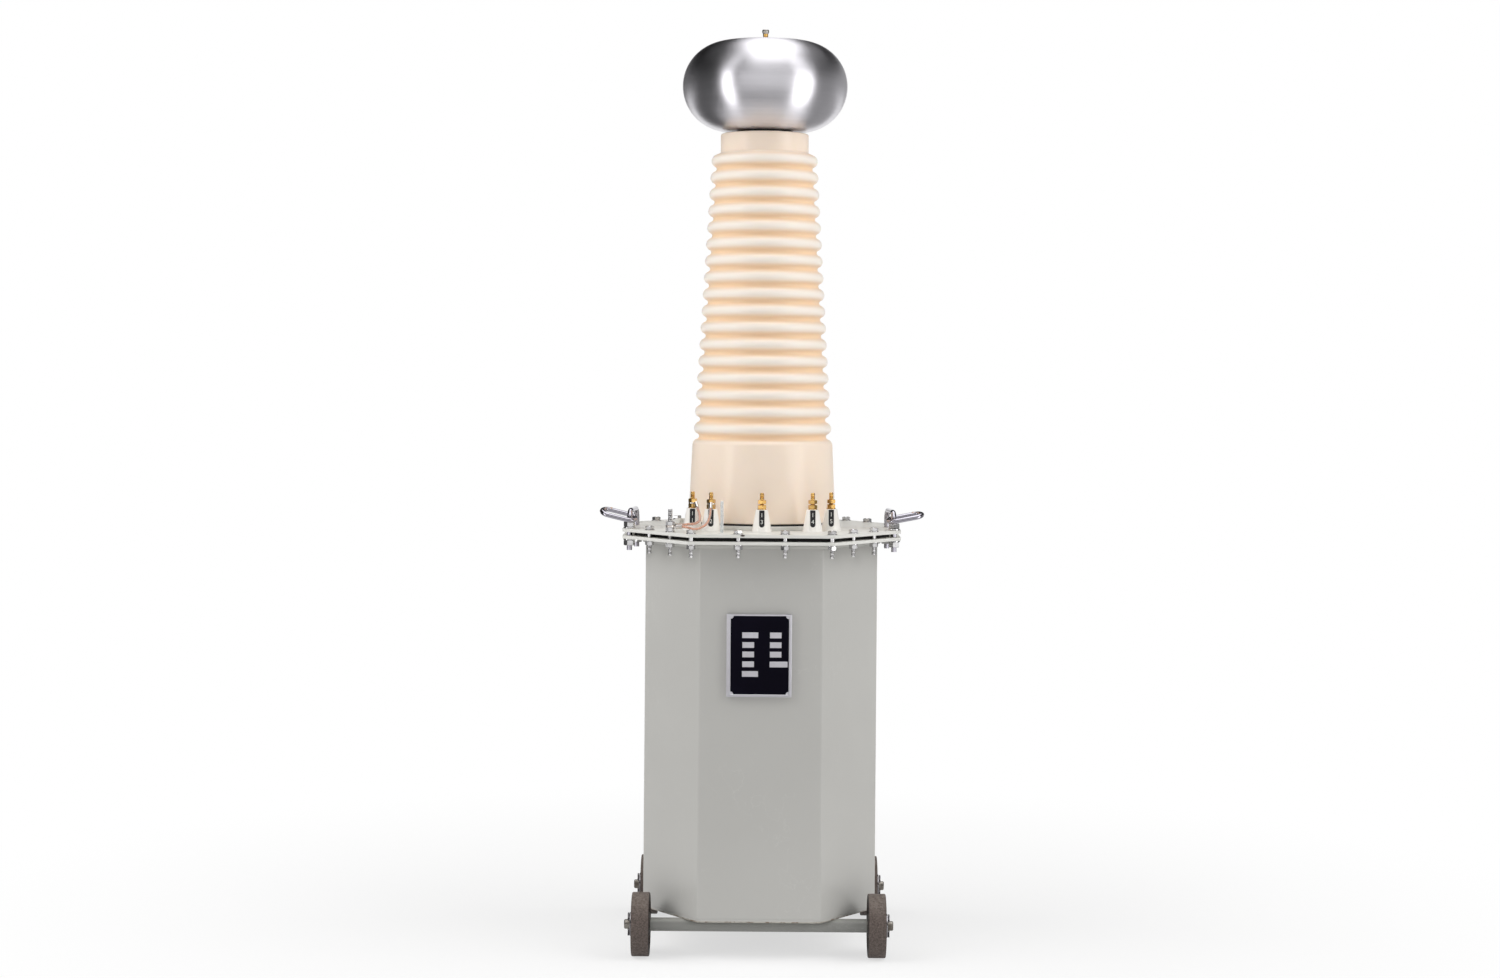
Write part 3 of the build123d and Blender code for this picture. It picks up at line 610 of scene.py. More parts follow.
@dataclass(frozen=True)
class Tyre(Finish):
    """Solid wheel with a worn brown-grey tread, dust ground into it, and sides painted near-black as shade.
    """

    worn: Colour = (72, 64, 60)
    side_colour: Colour = (30, 28, 27)
    depth: float = 0.0003

    def build(self) -> bpy.types.Material:
        """Returns the wheel material."""
        material, hand, shader = self.start({"Specular IOR Level": 0.3})
        tone = self.toned(hand, self.worn, 480.0, 0.8)
        speck = hand.span(hand.noise(hand.place(), 900.0, 4.0), 0.56, 0.7) * 0.4
        tread = hand.blend(speck, tone["Colour"], linear(150, 138, 128))
        tread, _ = self.overlaid(hand, tread, (168, 158, 148), EFFECTS.settled_dust, Amount=0.35, Scale=260.0)
        # painted shade: the wheel's sides, facing along the axle, turn near-black
        across = hand.split_xyz(hand.read("ShaderNodeNewGeometry", "Normal"))[0]
        colour = hand.blend(hand.span(abs(across), 0.55, 0.9), tread, linear(*self.side_colour))
        rough = hand.span(tone["Mask"], 0.0, 1.0, 0.55, self.roughness)
        grain = EFFECTS.place(hand, EFFECTS.fine_grain, Scale=520.0, Waviness=1.4)
        self.cover(hand, shader, colour, rough, grain["Height"], self.depth)
        return material


@dataclass(frozen=True)
class ClearSkin(Finish):
    """Clear tube or sleeve that lets most light through."""

    opacity: float = 0.3

    def build(self) -> bpy.types.Material:
        """Returns the clear material."""
        material, hand, shader = self.start({"IOR": 1.4, "Coat Weight": 0.5, "Coat Roughness": 0.05})
        cloud = hand.noise(hand.place(), 300.0, 3.0)
        haze = hand.span(cloud, 0.3, 0.7, self.opacity * 0.8, self.opacity * 1.25)
        edge = hand.read("ShaderNodeLayerWeight", "Facing", {"Blend": 0.35})
        hand.put(shader.inputs["Base Color"], self.toned(hand, 1.06, 120.0)["Colour"])
        hand.put(shader.inputs["Alpha"], hand.maths("ADD", haze, edge * 0.45, clamp=True))
        return material


class Look(Enum):
    """Every finish of the set."""

    ENAMEL = Enamel("grey_enamel", (187, 186, 182), 0.36)
    # painted light: the lid, flange, base ring and plug share a lighter copy of the tank's grey, standing for
    # the light from above
    LID_ENAMEL = Enamel(
        "lid_enamel", (222, 221, 216), 0.42, dust=0.25,
        chips=((-0.0238, -0.186, 0.538, 0.0032), (0.1585, -0.128, 0.5374, 0.0017)))
    WELD = Enamel("weld_enamel", (186, 185, 180), 0.38, peel=0.00025, dust=0.1)
    FLOOR_WELD = Enamel("floor_weld_enamel", (176, 172, 164), 0.45, peel=0.0003, dust=0.0, rust=0.75)
    # painted shade: the pipes' enamel is the tank's grey made darker for the shade under the tank floor
    PIPE_ENAMEL = Enamel("pipe_enamel", (141, 141, 137), 0.36, dust=0.5)
    RESIN = CastResin("cream_resin", (245, 227, 209), 0.34)
    ALUMINIUM = SpunMetal("spun_aluminium", (222, 220, 225), 0.28, stretch=0.85)
    CAP_NICKEL = SpunMetal("cap_nickel", (178, 174, 168), 0.24, lines=5000.0)
    POST_BRASS = SpunMetal("post_brass", (218, 174, 98), 0.24, lines=5000.0)
    BRASS = BareMetal("stud_brass", (226, 184, 112), 0.16, tarnish=(150, 108, 58), tarnish_share=0.3)
    ZINC = BareMetal("zinc_plate", (208, 207, 208), 0.13)
    CHROME = BareMetal("bright_chrome", (178, 175, 184), 0.05, depth=0.000002, tarnish_share=0.1)
    BRAZE = BareMetal("weld_spot", (196, 160, 124), 0.35, tarnish=(120, 84, 60), tarnish_share=0.5)
    TINNED = BareMetal("tinned_lug", (224, 220, 216), 0.22, tarnish=(170, 130, 108))
    COPPER = BareMetal("copper_strand", (230, 160, 124), 0.26, tarnish=(168, 96, 64), tarnish_share=0.4)
    ROD_STEEL = BareMetal("rod_steel", (150, 146, 140), 0.34, tarnish=(92, 80, 68), tarnish_share=0.6)
    PIN_STEEL = BareMetal("pin_steel", (158, 155, 158), 0.16, tarnish=(84, 78, 76), tarnish_share=0.45)
    SATIN_SILVER = BareMetal("satin_silver", (226, 224, 230), 0.34, grain=1200.0, tarnish_share=0.05)
    GASKET = Moulded("gasket_rubber", (24, 21, 22), 0.7, second=(36, 33, 33), patch_share=0.3, dust=0.03)
    COLLAR = Moulded("collar_black", (30, 29, 28), 0.4, patch_share=0.3, coat=0.2)
    INSULATOR = Moulded(
        "white_insulator", (247, 244, 239), 0.28, second=(240, 235, 228), dust=0.05, coat=0.5, depth=0.00002)
    STRIP = Moulded("black_strip", (14, 13, 16), 0.3, second=(20, 19, 24), dust=0.02, coat=0.1)
    NUMERAL = Moulded("numeral_white", (232, 232, 228), 0.45, second=(214, 214, 210), dust=0.0)
    PANEL = Moulded(
        "panel_blue_black", (9, 7, 18), 0.4, second=(14, 11, 26), patch_scale=14.0, dust=0.02,
        depth=0.00001, gloss=0.05)
    WHEEL = Tyre("wheel_tread", (100, 89, 84), 0.75)
    CLEAR_TUBE = ClearSkin("clear_tube", (226, 230, 231), 0.06, opacity=0.4)
    SLEEVE = ClearSkin("clear_sleeve", (248, 232, 220), 0.08, opacity=0.22)

    @cached_property
    def material(self) -> bpy.types.Material:
        """The material, built once."""
        return self.value.build()


# Meshes


def in_scene(name: str, data: bpy.types.ID) -> bpy.types.Object:
    """Adds an object to the scene.

    Args:
        name: the object's name.
        data: its mesh, curve, lamp or camera.

    Returns:
        The object.
    """
    made = bpy.data.objects.new(name, data)
    bpy.context.scene.collection.objects.link(made)
    return made


def written(work: bmesh.types.BMesh, name: str) -> Mesh:
    """Writes a mesh from its working copy, which it frees.

    Args:
        work: the working copy.
        name: the mesh's name.

    Returns:
        The mesh.
    """
    mesh = bpy.data.meshes.new(name)
    work.to_mesh(mesh)
    work.free()
    return mesh


def smooth(mesh: Mesh, angle: float = 34.0) -> Mesh:
    """Shades a mesh smooth, with edges sharper than an angle in degrees kept.

    Args:
        mesh: the mesh, which is changed.
        angle: the angle.

    Returns:
        The same mesh.
    """
    mesh.shade_smooth()
    mesh.set_sharp_from_angle(angle=math.radians(angle))
    return mesh


def skin(name: str, rings: Sequence[Ring], closed: bool = False) -> Mesh:
    """Joins rings of equal length with faces that look outwards.

    Args:
        name: the mesh's name.
        rings: rings of points, each ring closed.
        closed: whether the last ring joins the first.

    Returns:
        The mesh, smooth apart from its sharp edges.
    """
    work = bmesh.new()
    rows = [[work.verts.new(point) for point in ring] for ring in rings]
    for low, high in list(zip(rows, rows[1:])) + ([(rows[-1], rows[0])] if closed else []):
        count = len(low)
        for index in range(count):
            after = (index + 1) % count
            work.faces.new((low[index], low[after], high[after], high[index]))
    bmesh.ops.remove_doubles(work, verts=work.verts, dist=1e-7)
    bmesh.ops.dissolve_degenerate(work, dist=1e-7, edges=work.edges)
    bmesh.ops.recalc_face_normals(work, faces=work.faces)
    return smooth(written(work, name))


def turned(name: str, section: Sequence[Point] | Section, segments: int, closed: bool = False,
           place: Matrix | None = None) -> Mesh:
    """Turns a section about an upright axis.

    Args:
        name: the mesh's name.
        section: (radius, height) points, or what gives them for an angle.
        segments: steps round the axis.
        closed: whether the section is a loop.
        place: where the turned body goes.

    Returns:
        The mesh.
    """
    place = place or Matrix.Identity(4)
    columns = []
    for step in range(segments):
        angle = TURN * step / segments
        points = section(angle) if callable(section) else section
        columns.append([
            place @ Vector((radius * math.cos(angle), radius * math.sin(angle), height))
            for radius, height in points])
    return skin(name, [list(ring) for ring in zip(*columns)], closed)


def arc(centre: Point, radius: float, start: float, end: float, steps: int) -> list[Point]:
    """Points on an arc between two angles in degrees."""
    angles = [math.radians(start + (end - start) * step / steps) for step in range(steps + 1)]
    return [(centre[0] + radius * math.cos(angle), centre[1] + radius * math.sin(angle)) for angle in angles]


def hexagon_points(angle: float, flats: float, low: float, high: float, bore: float,
                   dished: bool) -> list[Point]:
    """Section of a hexagon with both ends chamfered.

    Args:
        angle: direction of the section.
        flats: width across flats.
        low: lower height.
        high: upper height.
        bore: radius of the hole, or 0 for none.
        dished: whether the upper face has a shallow dish.

    Returns:
        The points, from the axis or the bore round to it.
    """
    flat = flats / 2
    crown = flat * 0.94
    wedge = (angle + math.pi / 6) % (math.pi / 3) - math.pi / 6
    reach = flat / math.cos(wedge)
    drop = (reach - crown) * math.tan(math.radians(30))
    inner = high - flats * 0.035 if dished else high
    dish = [(crown * 0.78, high), (crown * 0.72, inner)] if dished else []
    return [(bore, low), (crown, low), (reach, low + drop), (reach, high - drop), (crown, high), *dish,
            (bore, inner)]


def hexagon(flats: float, low: float, high: float, bore: float = 0.0, dished: bool = False,
            place: Matrix | None = None) -> Mesh:
    """Nut or bolt head, with a hole where it has a bore.

    Args:
        flats: width across flats.
        low: lower height.
        high: upper height.
        bore: radius of the hole, or 0 for none.
        dished: whether the upper face is dished.
        place: where it goes.

    Returns:
        The mesh.
    """
    section = partial(hexagon_points, flats=flats, low=low, high=high, bore=bore, dished=dished)
    return turned("hexagon", section, 48, closed=bore > 0, place=place)


def disc(radius: float, low: float, high: float, bore: float = 0.0, edge: float = 0.0002,
         segments: int = 40, place: Matrix | None = None) -> Mesh:
    """Washer or disc with softened edges, with a hole where it has a bore.

    Args:
        radius: outer radius.
        low: lower height.
        high: upper height.
        bore: radius of the hole, or 0 for none.
        edge: size of the softened edges.
        segments: steps round the axis.
        place: where it goes.

    Returns:
        The mesh.
    """
    soft = edge * 0.3
    points = [(bore, low), (radius - edge, low), (radius - soft, low + soft), (radius, low + edge),
              (radius, high - edge), (radius - soft, high - soft), (radius - edge, high), (bore, high)]
    return turned("disc", points, segments, closed=bore > 0, place=place)


def merged(name: str, meshes: Sequence[Mesh], angle: float = 34.0) -> Mesh:
    """Puts several meshes into one and removes the singles.

    Args:
        name: the new mesh's name.
        meshes: the single meshes.
        angle: edges sharper than this, in degrees, stay sharp.

    Returns:
        The one mesh.
    """
    work = bmesh.new()
    for mesh in meshes:
        work.from_mesh(mesh)
        bpy.data.meshes.remove(mesh)
    return smooth(written(work, name), angle)


def plain_mesh(holder: bpy.types.Object, name: str) -> Mesh:
    """Turns an object with modifiers into a plain mesh and removes the object.

    Args:
        holder: the object.
        name: the mesh's name.

    Returns:
        The mesh.
    """
    graph = bpy.context.evaluated_depsgraph_get()
    mesh = bpy.data.meshes.new_from_object(holder.evaluated_get(graph), depsgraph=graph)
    mesh.name = name
    bpy.data.objects.remove(holder)
    return smooth(mesh)


def softened(node: str, edge: float) -> Mesh:
    """Copies a solid's mesh and rounds its sharp edges.

    Args:
        node: the solid.
        edge: radius of the rounding.

    Returns:
        The mesh.
    """
    work = bmesh.new()
    work.from_mesh(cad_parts[node].data)
    bmesh.ops.remove_doubles(work, verts=work.verts, dist=1e-6)
    bmesh.ops.dissolve_limit(work, angle_limit=math.radians(0.5), verts=work.verts, edges=work.edges)
    holder = in_scene(node + "_holder", written(work, node + "_soft"))
    bevel = holder.modifiers.new("round", "BEVEL")
    bevel.width = edge
    bevel.segments = 2
    bevel.limit_method = "ANGLE"
    bevel.angle_limit = math.radians(40)
    return plain_mesh(holder, node + "_soft")


def route_through(name: str, points: Sequence[Sequence[float]], rounded: bool = False,
                  closed: bool = False) -> bpy.types.Object:
    """Lays a curve along points.

    Args:
        name: the curve's name.
        points: its points.
        rounded: whether it bends smoothly from its first point to its last, or is straight between points.
        closed: whether it goes back to its start.

    Returns:
        The curve's object.
    """
    curve = bpy.data.curves.new(name, "CURVE")
    curve.dimensions = "3D"
    curve.resolution_u = 16
    line = curve.splines.new("NURBS" if rounded else "POLY")
    line.points.add(len(points) - 1)
    for spot, point in zip(line.points, points):
        spot.co = (*point, 1.0)
    line.use_cyclic_u = closed
    if rounded:
        line.order_u = 3
        line.use_endpoint_u = True
    return in_scene(name, curve)


def piece(name: str, mesh: Mesh, look: Look | None, body: str = TANK,
          replaces: Sequence[str] = ()) -> None:
    """Adds a finished piece.

    Args:
        name: the piece's name.
        mesh: its mesh, in place.
        look: its finish, or None where the mesh has its material.
        body: the body that it rides on.
        replaces: solids that it stands for.
    """
    mesh.name = name
    made = in_scene(name, mesh)
    if look:
        mesh.materials.clear()
        mesh.materials.append(look.material)
    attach(made, body)
    if replaces:
        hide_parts(*replaces)
    log.info("%s: %d faces on %s", name, len(mesh.polygons), body)


def dress(look: Look, *nodes: str) -> None:
    """Gives solids that stay, or that a piece stands for, their finish.

    Args:
        look: the finish.
        nodes: names of the solids.
    """
    for node in nodes:
        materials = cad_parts[node].data.materials
        materials.clear()
        materials.append(look.material)
        log.info("%s: solid in %s", node, look.value.name)


# Geometry Nodes


def new_growth(name: str, inputs: dict[str, object]) -> tuple[TreeHand, dict[str, Wire]]:
    """Starts a geometry tree, which takes and gives geometry and takes a material."""
    taken = {"Geometry": GEOMETRY, "Material": MATERIAL, **inputs}
    return new_group(name, GROWTH, taken, {"Geometry": GEOMETRY})


def close_tree(hand: TreeHand, geometry: Wire, material: Wire) -> bpy.types.NodeTree:
    """Ends a geometry tree in Realize Instances and Set Material and returns the tree.

    Args:
        hand: hand on the tree.
        geometry: what it has made.
        material: the finish.

    Returns:
        The geometry tree.
    """
    real = hand.read("GeometryNodeRealizeInstances", 0, {"Geometry": geometry})
    dressed = hand.read("GeometryNodeSetMaterial", 0, {"Geometry": real, "Material": material})
    hand.node("NodeGroupOutput", {"Geometry": dressed})
    return hand.tree


def point_mesh(points: Sequence[Sequence[float]]) -> Mesh:
    """Mesh of loose points.

    Args:
        points: the places.

    Returns:
        The mesh.
    """
    mesh = bpy.data.meshes.new("points")
    mesh.from_pydata([tuple(point) for point in points], [], [])
    return mesh


def grown(tree: bpy.types.NodeTree, name: str, look: Look, inputs: dict[str, object],
          source: Mesh | None = None) -> Mesh:
    """Runs a geometry tree and makes its result a plain mesh.

    Args:
        tree: the geometry tree.
        name: the new mesh's name.
        look: its finish.
        inputs: the tree's other values by name. Objects among them are removed afterwards.
        source: mesh that the tree starts from, where it uses one.

    Returns:
        The grown mesh.
    """
    source = source or point_mesh([(0, 0, 0)])
    holder = in_scene(name + "_holder", source)
    modifier = holder.modifiers.new("grow", "NODES")
    modifier.node_group = tree
    sockets = {item.name: item.identifier for item in tree.interface.items_tree if item.in_out == "INPUT"}
    for label, value in {"Material": look.material, **inputs}.items():
        modifier[sockets[label]] = value
    mesh = plain_mesh(holder, name)
    bpy.data.meshes.remove(source)
    for value in inputs.values():
        if isinstance(value, bpy.types.Object):
            bpy.data.objects.remove(value)
    return mesh


class Trees:
    """The geometry trees, each built when first asked for, and what they make."""

    @cached_property
    def fasteners(self) -> bpy.types.NodeTree:
        """Puts a fastener on every point, each turned by its own amount.

        Returns:
            The geometry tree.
        """
        hand, given = new_growth("set_fasteners", {"Fastener": OBJECT, "Most Turn": 1.0, "Seed": 1})
        fastener = hand.read("GeometryNodeObjectInfo", "Geometry", {"Object": given["Fastener"]})
        turn = hand.node("FunctionNodeRandomValue", data_type="FLOAT")
        sockets = {socket.name: socket for socket in turn.inputs if socket.enabled}
        for label, value in (("Min", 0.0), ("Max", given["Most Turn"]), ("Seed", given["Seed"])):
            hand.put(sockets[label], value)
        amount = Wire(hand, next(socket for socket in turn.outputs if socket.enabled))
        turned_by = hand.read("FunctionNodeEulerToRotation", 0, {0: hand.join_xyz(0.0, 0.0, amount)})
        placed = hand.read("GeometryNodeInstanceOnPoints", 0, {
            "Points": given["Geometry"], "Instance": fastener, "Rotation": turned_by})
        return close_tree(hand, placed, given["Material"])

    @cached_property
    def threads(self) -> bpy.types.NodeTree:
        """Puts a threaded shank on every point.

        Returns:
            The geometry tree.
        """
        hand, given = new_growth("cut_threads", {
            "Radius": M6_RADIUS, "Pitch": 0.001, "Length": 0.01, "Crest": 0.00055})
        length, crest = given["Length"], given["Crest"]
        middle = given["Radius"] - crest
        spiral = hand.read("GeometryNodeCurveSpiral", 0, {
            "Resolution": 16, "Rotations": length / given["Pitch"], "Start Radius": middle,
            "End Radius": middle, "Height": length})
        ridge = hand.sweep(spiral, 3, crest, {"Fill Caps": True})
        core = hand.read("GeometryNodeMeshCylinder", 0, {
            "Vertices": 20, "Radius": middle - crest * 0.1, "Depth": length})
        raised = hand.read("GeometryNodeTransform", 0, {
            "Geometry": core, "Translation": hand.join_xyz(0.0, 0.0, length * 0.5)})
        placed = hand.read("GeometryNodeInstanceOnPoints", 0, {
            "Points": given["Geometry"], "Instance": hand.together(ridge, raised)})
        return close_tree(hand, placed, given["Material"])

    @cached_property
    def welds(self) -> bpy.types.NodeTree:
        """Lays an uneven rippled bead along a route.

        Returns:
            The geometry tree.
        """
        hand, given = new_growth("lay_bead", {
            "Route": OBJECT, "Bead Radius": 0.0024, "Ripple": 0.0022, "Unevenness": 0.5, "Seed": 3})
        along = hand.read("GeometryNodeSplineParameter", "Length")
        ripple = hand.maths("SINE", along / given["Ripple"] * TURN)
        cloud = hand.read("ShaderNodeTexNoise", 0, {
            "W": given["Seed"], "Scale": 90.0, "Detail": 3.0,
            "Vector": hand.read("GeometryNodeInputPosition")}, noise_dimensions="4D")
        share = (cloud - 0.5) * given["Unevenness"] + 0.82 + ripple * 0.07
        stepped = hand.stepped_route(given["Route"], 1500)
        bead = hand.sweep(stepped, 10, given["Bead Radius"], {"Scale": share})
        return close_tree(hand, bead, given["Material"])

    @cached_property
    def strands(self) -> bpy.types.NodeTree:
        """Lays twisted strands along a route.

        Returns:
            The geometry tree.
        """
        hand, given = new_growth("lay_strands", {
            "Route": OBJECT, "Strands": 9, "Lay Radius": 0.0012, "Strand Radius": 0.00042, "Turns": 5.0})
        copies = hand.outputs(hand.node("GeometryNodeDuplicateElements", {
            "Geometry": hand.stepped_route(given["Route"], 90), "Amount": given["Strands"]}, domain="SPLINE"))
        factor = hand.read("GeometryNodeSplineParameter", "Factor")
        angle = (factor * given["Turns"] + copies["Duplicate Index"] / given["Strands"]) * TURN
        normal = hand.read("GeometryNodeInputNormal")
        side = hand.vector("CROSS_PRODUCT", hand.read("GeometryNodeInputTangent"), normal)
        shifts = [
            hand.read("ShaderNodeVectorMath", "Vector", {
                0: axis, "Scale": hand.maths(way, angle) * given["Lay Radius"]}, operation="SCALE")
            for axis, way in ((normal, "COSINE"), (side, "SINE"))]
        moved = hand.read("GeometryNodeSetPosition", 0, {
            "Geometry": copies["Geometry"], "Offset": hand.vector("ADD", *shifts)})
        strands = hand.sweep(moved, 6, given["Strand Radius"], {"Fill Caps": True})
        return close_tree(hand, strands, given["Material"])

    def sag(self, hand: TreeHand, radius: Wire, distance: Wire) -> Wire:
        """Drop of an arc at a distance from its top."""
        inside = hand.maths("MAXIMUM", radius * radius - distance * distance, 0.0)
        return radius - hand.maths("SQRT", inside)

    @cached_property
    def sheds(self) -> bpy.types.NodeTree:
        """Adds the rounded sheds of the bushing to its plain body.

        Returns:
            The geometry tree.
        """
        hand, given = new_growth("shape_sheds", {
            "Foot": 0.6574, "Head": 1.028, "Pitch": 0.022, "First Crest Radius": 0.0906, "Taper": 0.0585,
            "Depth": 0.0074, "Crest Arc": 0.0082, "Groove Arc": 0.0037, "Crest Half Width": 0.0076,
            "Segments": 160, "Rows": 400})
        sheet = hand.read("GeometryNodeMeshGrid", "Mesh", {
            "Size X": 1.0, "Size Y": 1.0, "Vertices X": given["Segments"] + 1.0, "Vertices Y": given["Rows"]})
        x, y, _ = hand.split_xyz(hand.read("GeometryNodeInputPosition"))
        angle = (x + 0.5) * TURN
        rise = (y + 0.5) * (given["Head"] - given["Foot"])
        pitch, half = given["Pitch"], given["Pitch"] * 0.5
        off_crest = abs(hand.maths("FRACT", rise / pitch) - 0.5) * pitch
        below_crest = self.sag(hand, given["Crest Arc"], off_crest)
        below_groove = given["Depth"] - self.sag(hand, given["Groove Arc"], half - off_crest)
        in_groove = hand.maths("GREATER_THAN", off_crest, given["Crest Half Width"])
        drop = in_groove * below_groove + (1.0 - in_groove) * below_crest
        radius = given["First Crest Radius"] - (rise - half) * given["Taper"] - drop
        position = hand.join_xyz(
            radius * hand.maths("COSINE", angle), radius * hand.maths("SINE", angle), rise + given["Foot"])
        sheds = hand.read("GeometryNodeSetPosition", 0, {"Geometry": sheet, "Position": position})
        whole = hand.read("GeometryNodeMergeByDistance", 0, {
            "Geometry": hand.together(sheds, given["Geometry"]), "Distance": 0.00002})
        return close_tree(hand, whole, given["Material"])

    def set_fasteners(self, name: str, parts: Sequence[Mesh], places: Sequence[Vector], look: Look,
                      seed: int) -> Mesh:
        """Puts copies of a fastener on places, each turned its own way.

        Args:
            name: the new mesh's name.
            parts: meshes of one fastener, at their heights on the upright axis.
            places: plan points where they go.
            look: their finish.
            seed: picks the turns.

        Returns:
            One mesh with all of them.
        """
        model = in_scene(name + "_pattern", merged(name + "_pattern", parts))
        points = point_mesh([(place[0], place[1], 0.0) for place in places])
        return grown(self.fasteners, name, look, {"Fastener": model, "Seed": seed}, points)

    def cut_threads(self, name: str, places: Sequence[Vector], low: float, radius: float, length: float,
                    look: Look, pitch: float = 0.001) -> Mesh:
        """Puts upright threaded shanks on places.

        Args:
            name: the new mesh's name.
            places: plan points where they go.
            low: height of their lower ends.
            radius: radius over the thread.
            length: length of a shank.
            look: their finish.
            pitch: rise of the thread in one turn.

        Returns:
            One mesh with all of them.
        """
        points = point_mesh([(place[0], place[1], low) for place in places])
        return grown(self.threads, name, look, {"Radius": radius, "Length": length, "Pitch": pitch}, points)

    def lay_bead(self, name: str, route: bpy.types.Object, radius: float, seed: int, look: Look) -> Mesh:
        """Lays a weld bead along a route, which it removes.

        Args:
            name: the mesh's name.
            route: the curve.
            radius: the bead's radius.
            seed: picks the unevenness.
            look: its finish.

        Returns:
            The mesh.
        """
        sizes = {"Route": route, "Bead Radius": radius, "Seed": seed}
        return smooth(grown(self.welds, name, look, sizes), 80)


TREES = Trees()


# Sub-assemblies


@dataclass
class Tank:
    """Eight-sided tank with its flange, lid, seals and welds."""

    half_width: float = 0.150
    half_depth: float = 0.156
    front_half: float = 0.078
    side_half: float = 0.062
    bend_radius: float = 0.004
    wall: float = 0.003
    wall_edge: float = 0.0003
    floor_bottom: float = 0.0486
    floor_top: float = 0.0526
    bolt_line: float = 0.021
    lid_edge: float = 0.0005

    def corners(self, grow: float) -> list[Vector]:
        """Corners of the tank outline grown outwards, from front left round.

        Args:
            grow: distance outside the tank's face.

        Returns:
            The eight plan points.
        """
        run = self.half_width - self.front_half
        rise = self.half_depth - self.side_half
        slant = math.hypot(run, rise)
        normal_x, normal_y = rise / slant, run / slant
        reach = normal_x * self.front_half + normal_y * self.half_depth + grow
        depth, width = self.half_depth + grow, self.half_width + grow
        front = (reach - normal_y * depth) / normal_x
        side = (reach - normal_x * width) / normal_y
        return [Vector(corner) for corner in (
            (-front, -depth), (front, -depth), (width, -side), (width, side),
            (front, depth), (-front, depth), (-width, side), (-width, -side))]

    def band(self, grow: float, radius: float, height: float) -> Ring:
        """Closed outline of the tank at a height, with rounded corners.

        Args:
            grow: distance outside the tank's face.
            radius: radius of the corners.
            height: height of the outline.

        Returns:
            The points.
        """
        corners = self.corners(grow)
        steps = 8
        points = []
        for index, corner in enumerate(corners):
            back = (corners[index - 1] - corner).normalized()
            ahead = (corners[(index + 1) % 8] - corner).normalized()
            half_turn = (math.pi - back.angle(ahead)) / 2
            centre = corner + (back + ahead).normalized() * (radius / math.cos(half_turn))
            start = corner + back * (radius * math.tan(half_turn)) - centre
            points += [
                centre + Matrix.Rotation(2 * half_turn * step / steps, 2) @ start
                for step in range(steps + 1)]
        return [Vector((point.x, point.y, height)) for point in points]

    def shell(self) -> Mesh:
        """Folded wall with tight bends, open at both ends.

        Returns:
            The mesh.
        """
        bend, inner, edge = self.bend_radius, self.bend_radius / 4, self.wall_edge
        low, high = self.floor_top, FLANGE_BOTTOM
        return skin("tank_wall", [self.band(*row) for row in (
            (-self.wall, inner, low), (-edge, bend, low), (0.0, bend, low + edge), (0.0, bend, high),
            (-self.wall, inner, high))], closed=True)

    def bead(self, name: str, grow: float, height: float, radius: float, seed: int, look: Look) -> None:
        """Lays one weld bead round the tank."""
        route = route_through(name + "_route", self.band(grow, self.bend_radius, height), closed=True)
        piece(name, TREES.lay_bead(name, route, radius, seed, look), None)

    def build(self) -> None:
        """Adds the welds and the edge-rounded plates, and dresses what stays."""
        dress(Look.ENAMEL, "tank_shell", "tank_floor")
        dress(Look.WELD, "flange_weld")
        dress(Look.LID_ENAMEL, "lid", "tank_flange", "bushing_base_ring")
        dress(Look.GASKET, "flange_gasket", "bushing_gasket")
        for node in ("lid", "tank_flange"):
            plate = softened(node, self.lid_edge)
            piece(node + "_plate", plate, Look.LID_ENAMEL, replaces=[node])
        piece("tank_wall", self.shell(), Look.ENAMEL, replaces=["tank_shell"])
        self.bead("flange_bead", 0.0024, FLANGE_BOTTOM - 0.0027, 0.0026, 3, Look.WELD)
        self.bead("floor_bead", -0.0004, self.floor_bottom + 0.0004, 0.0011, 8, Look.FLOOR_WELD)
        ring = disc(0.099, LID_TOP, 0.5443, bore=0.070, edge=0.0008, segments=160)
        piece("base_ring", ring, Look.LID_ENAMEL, replaces=["bushing_base_ring"])


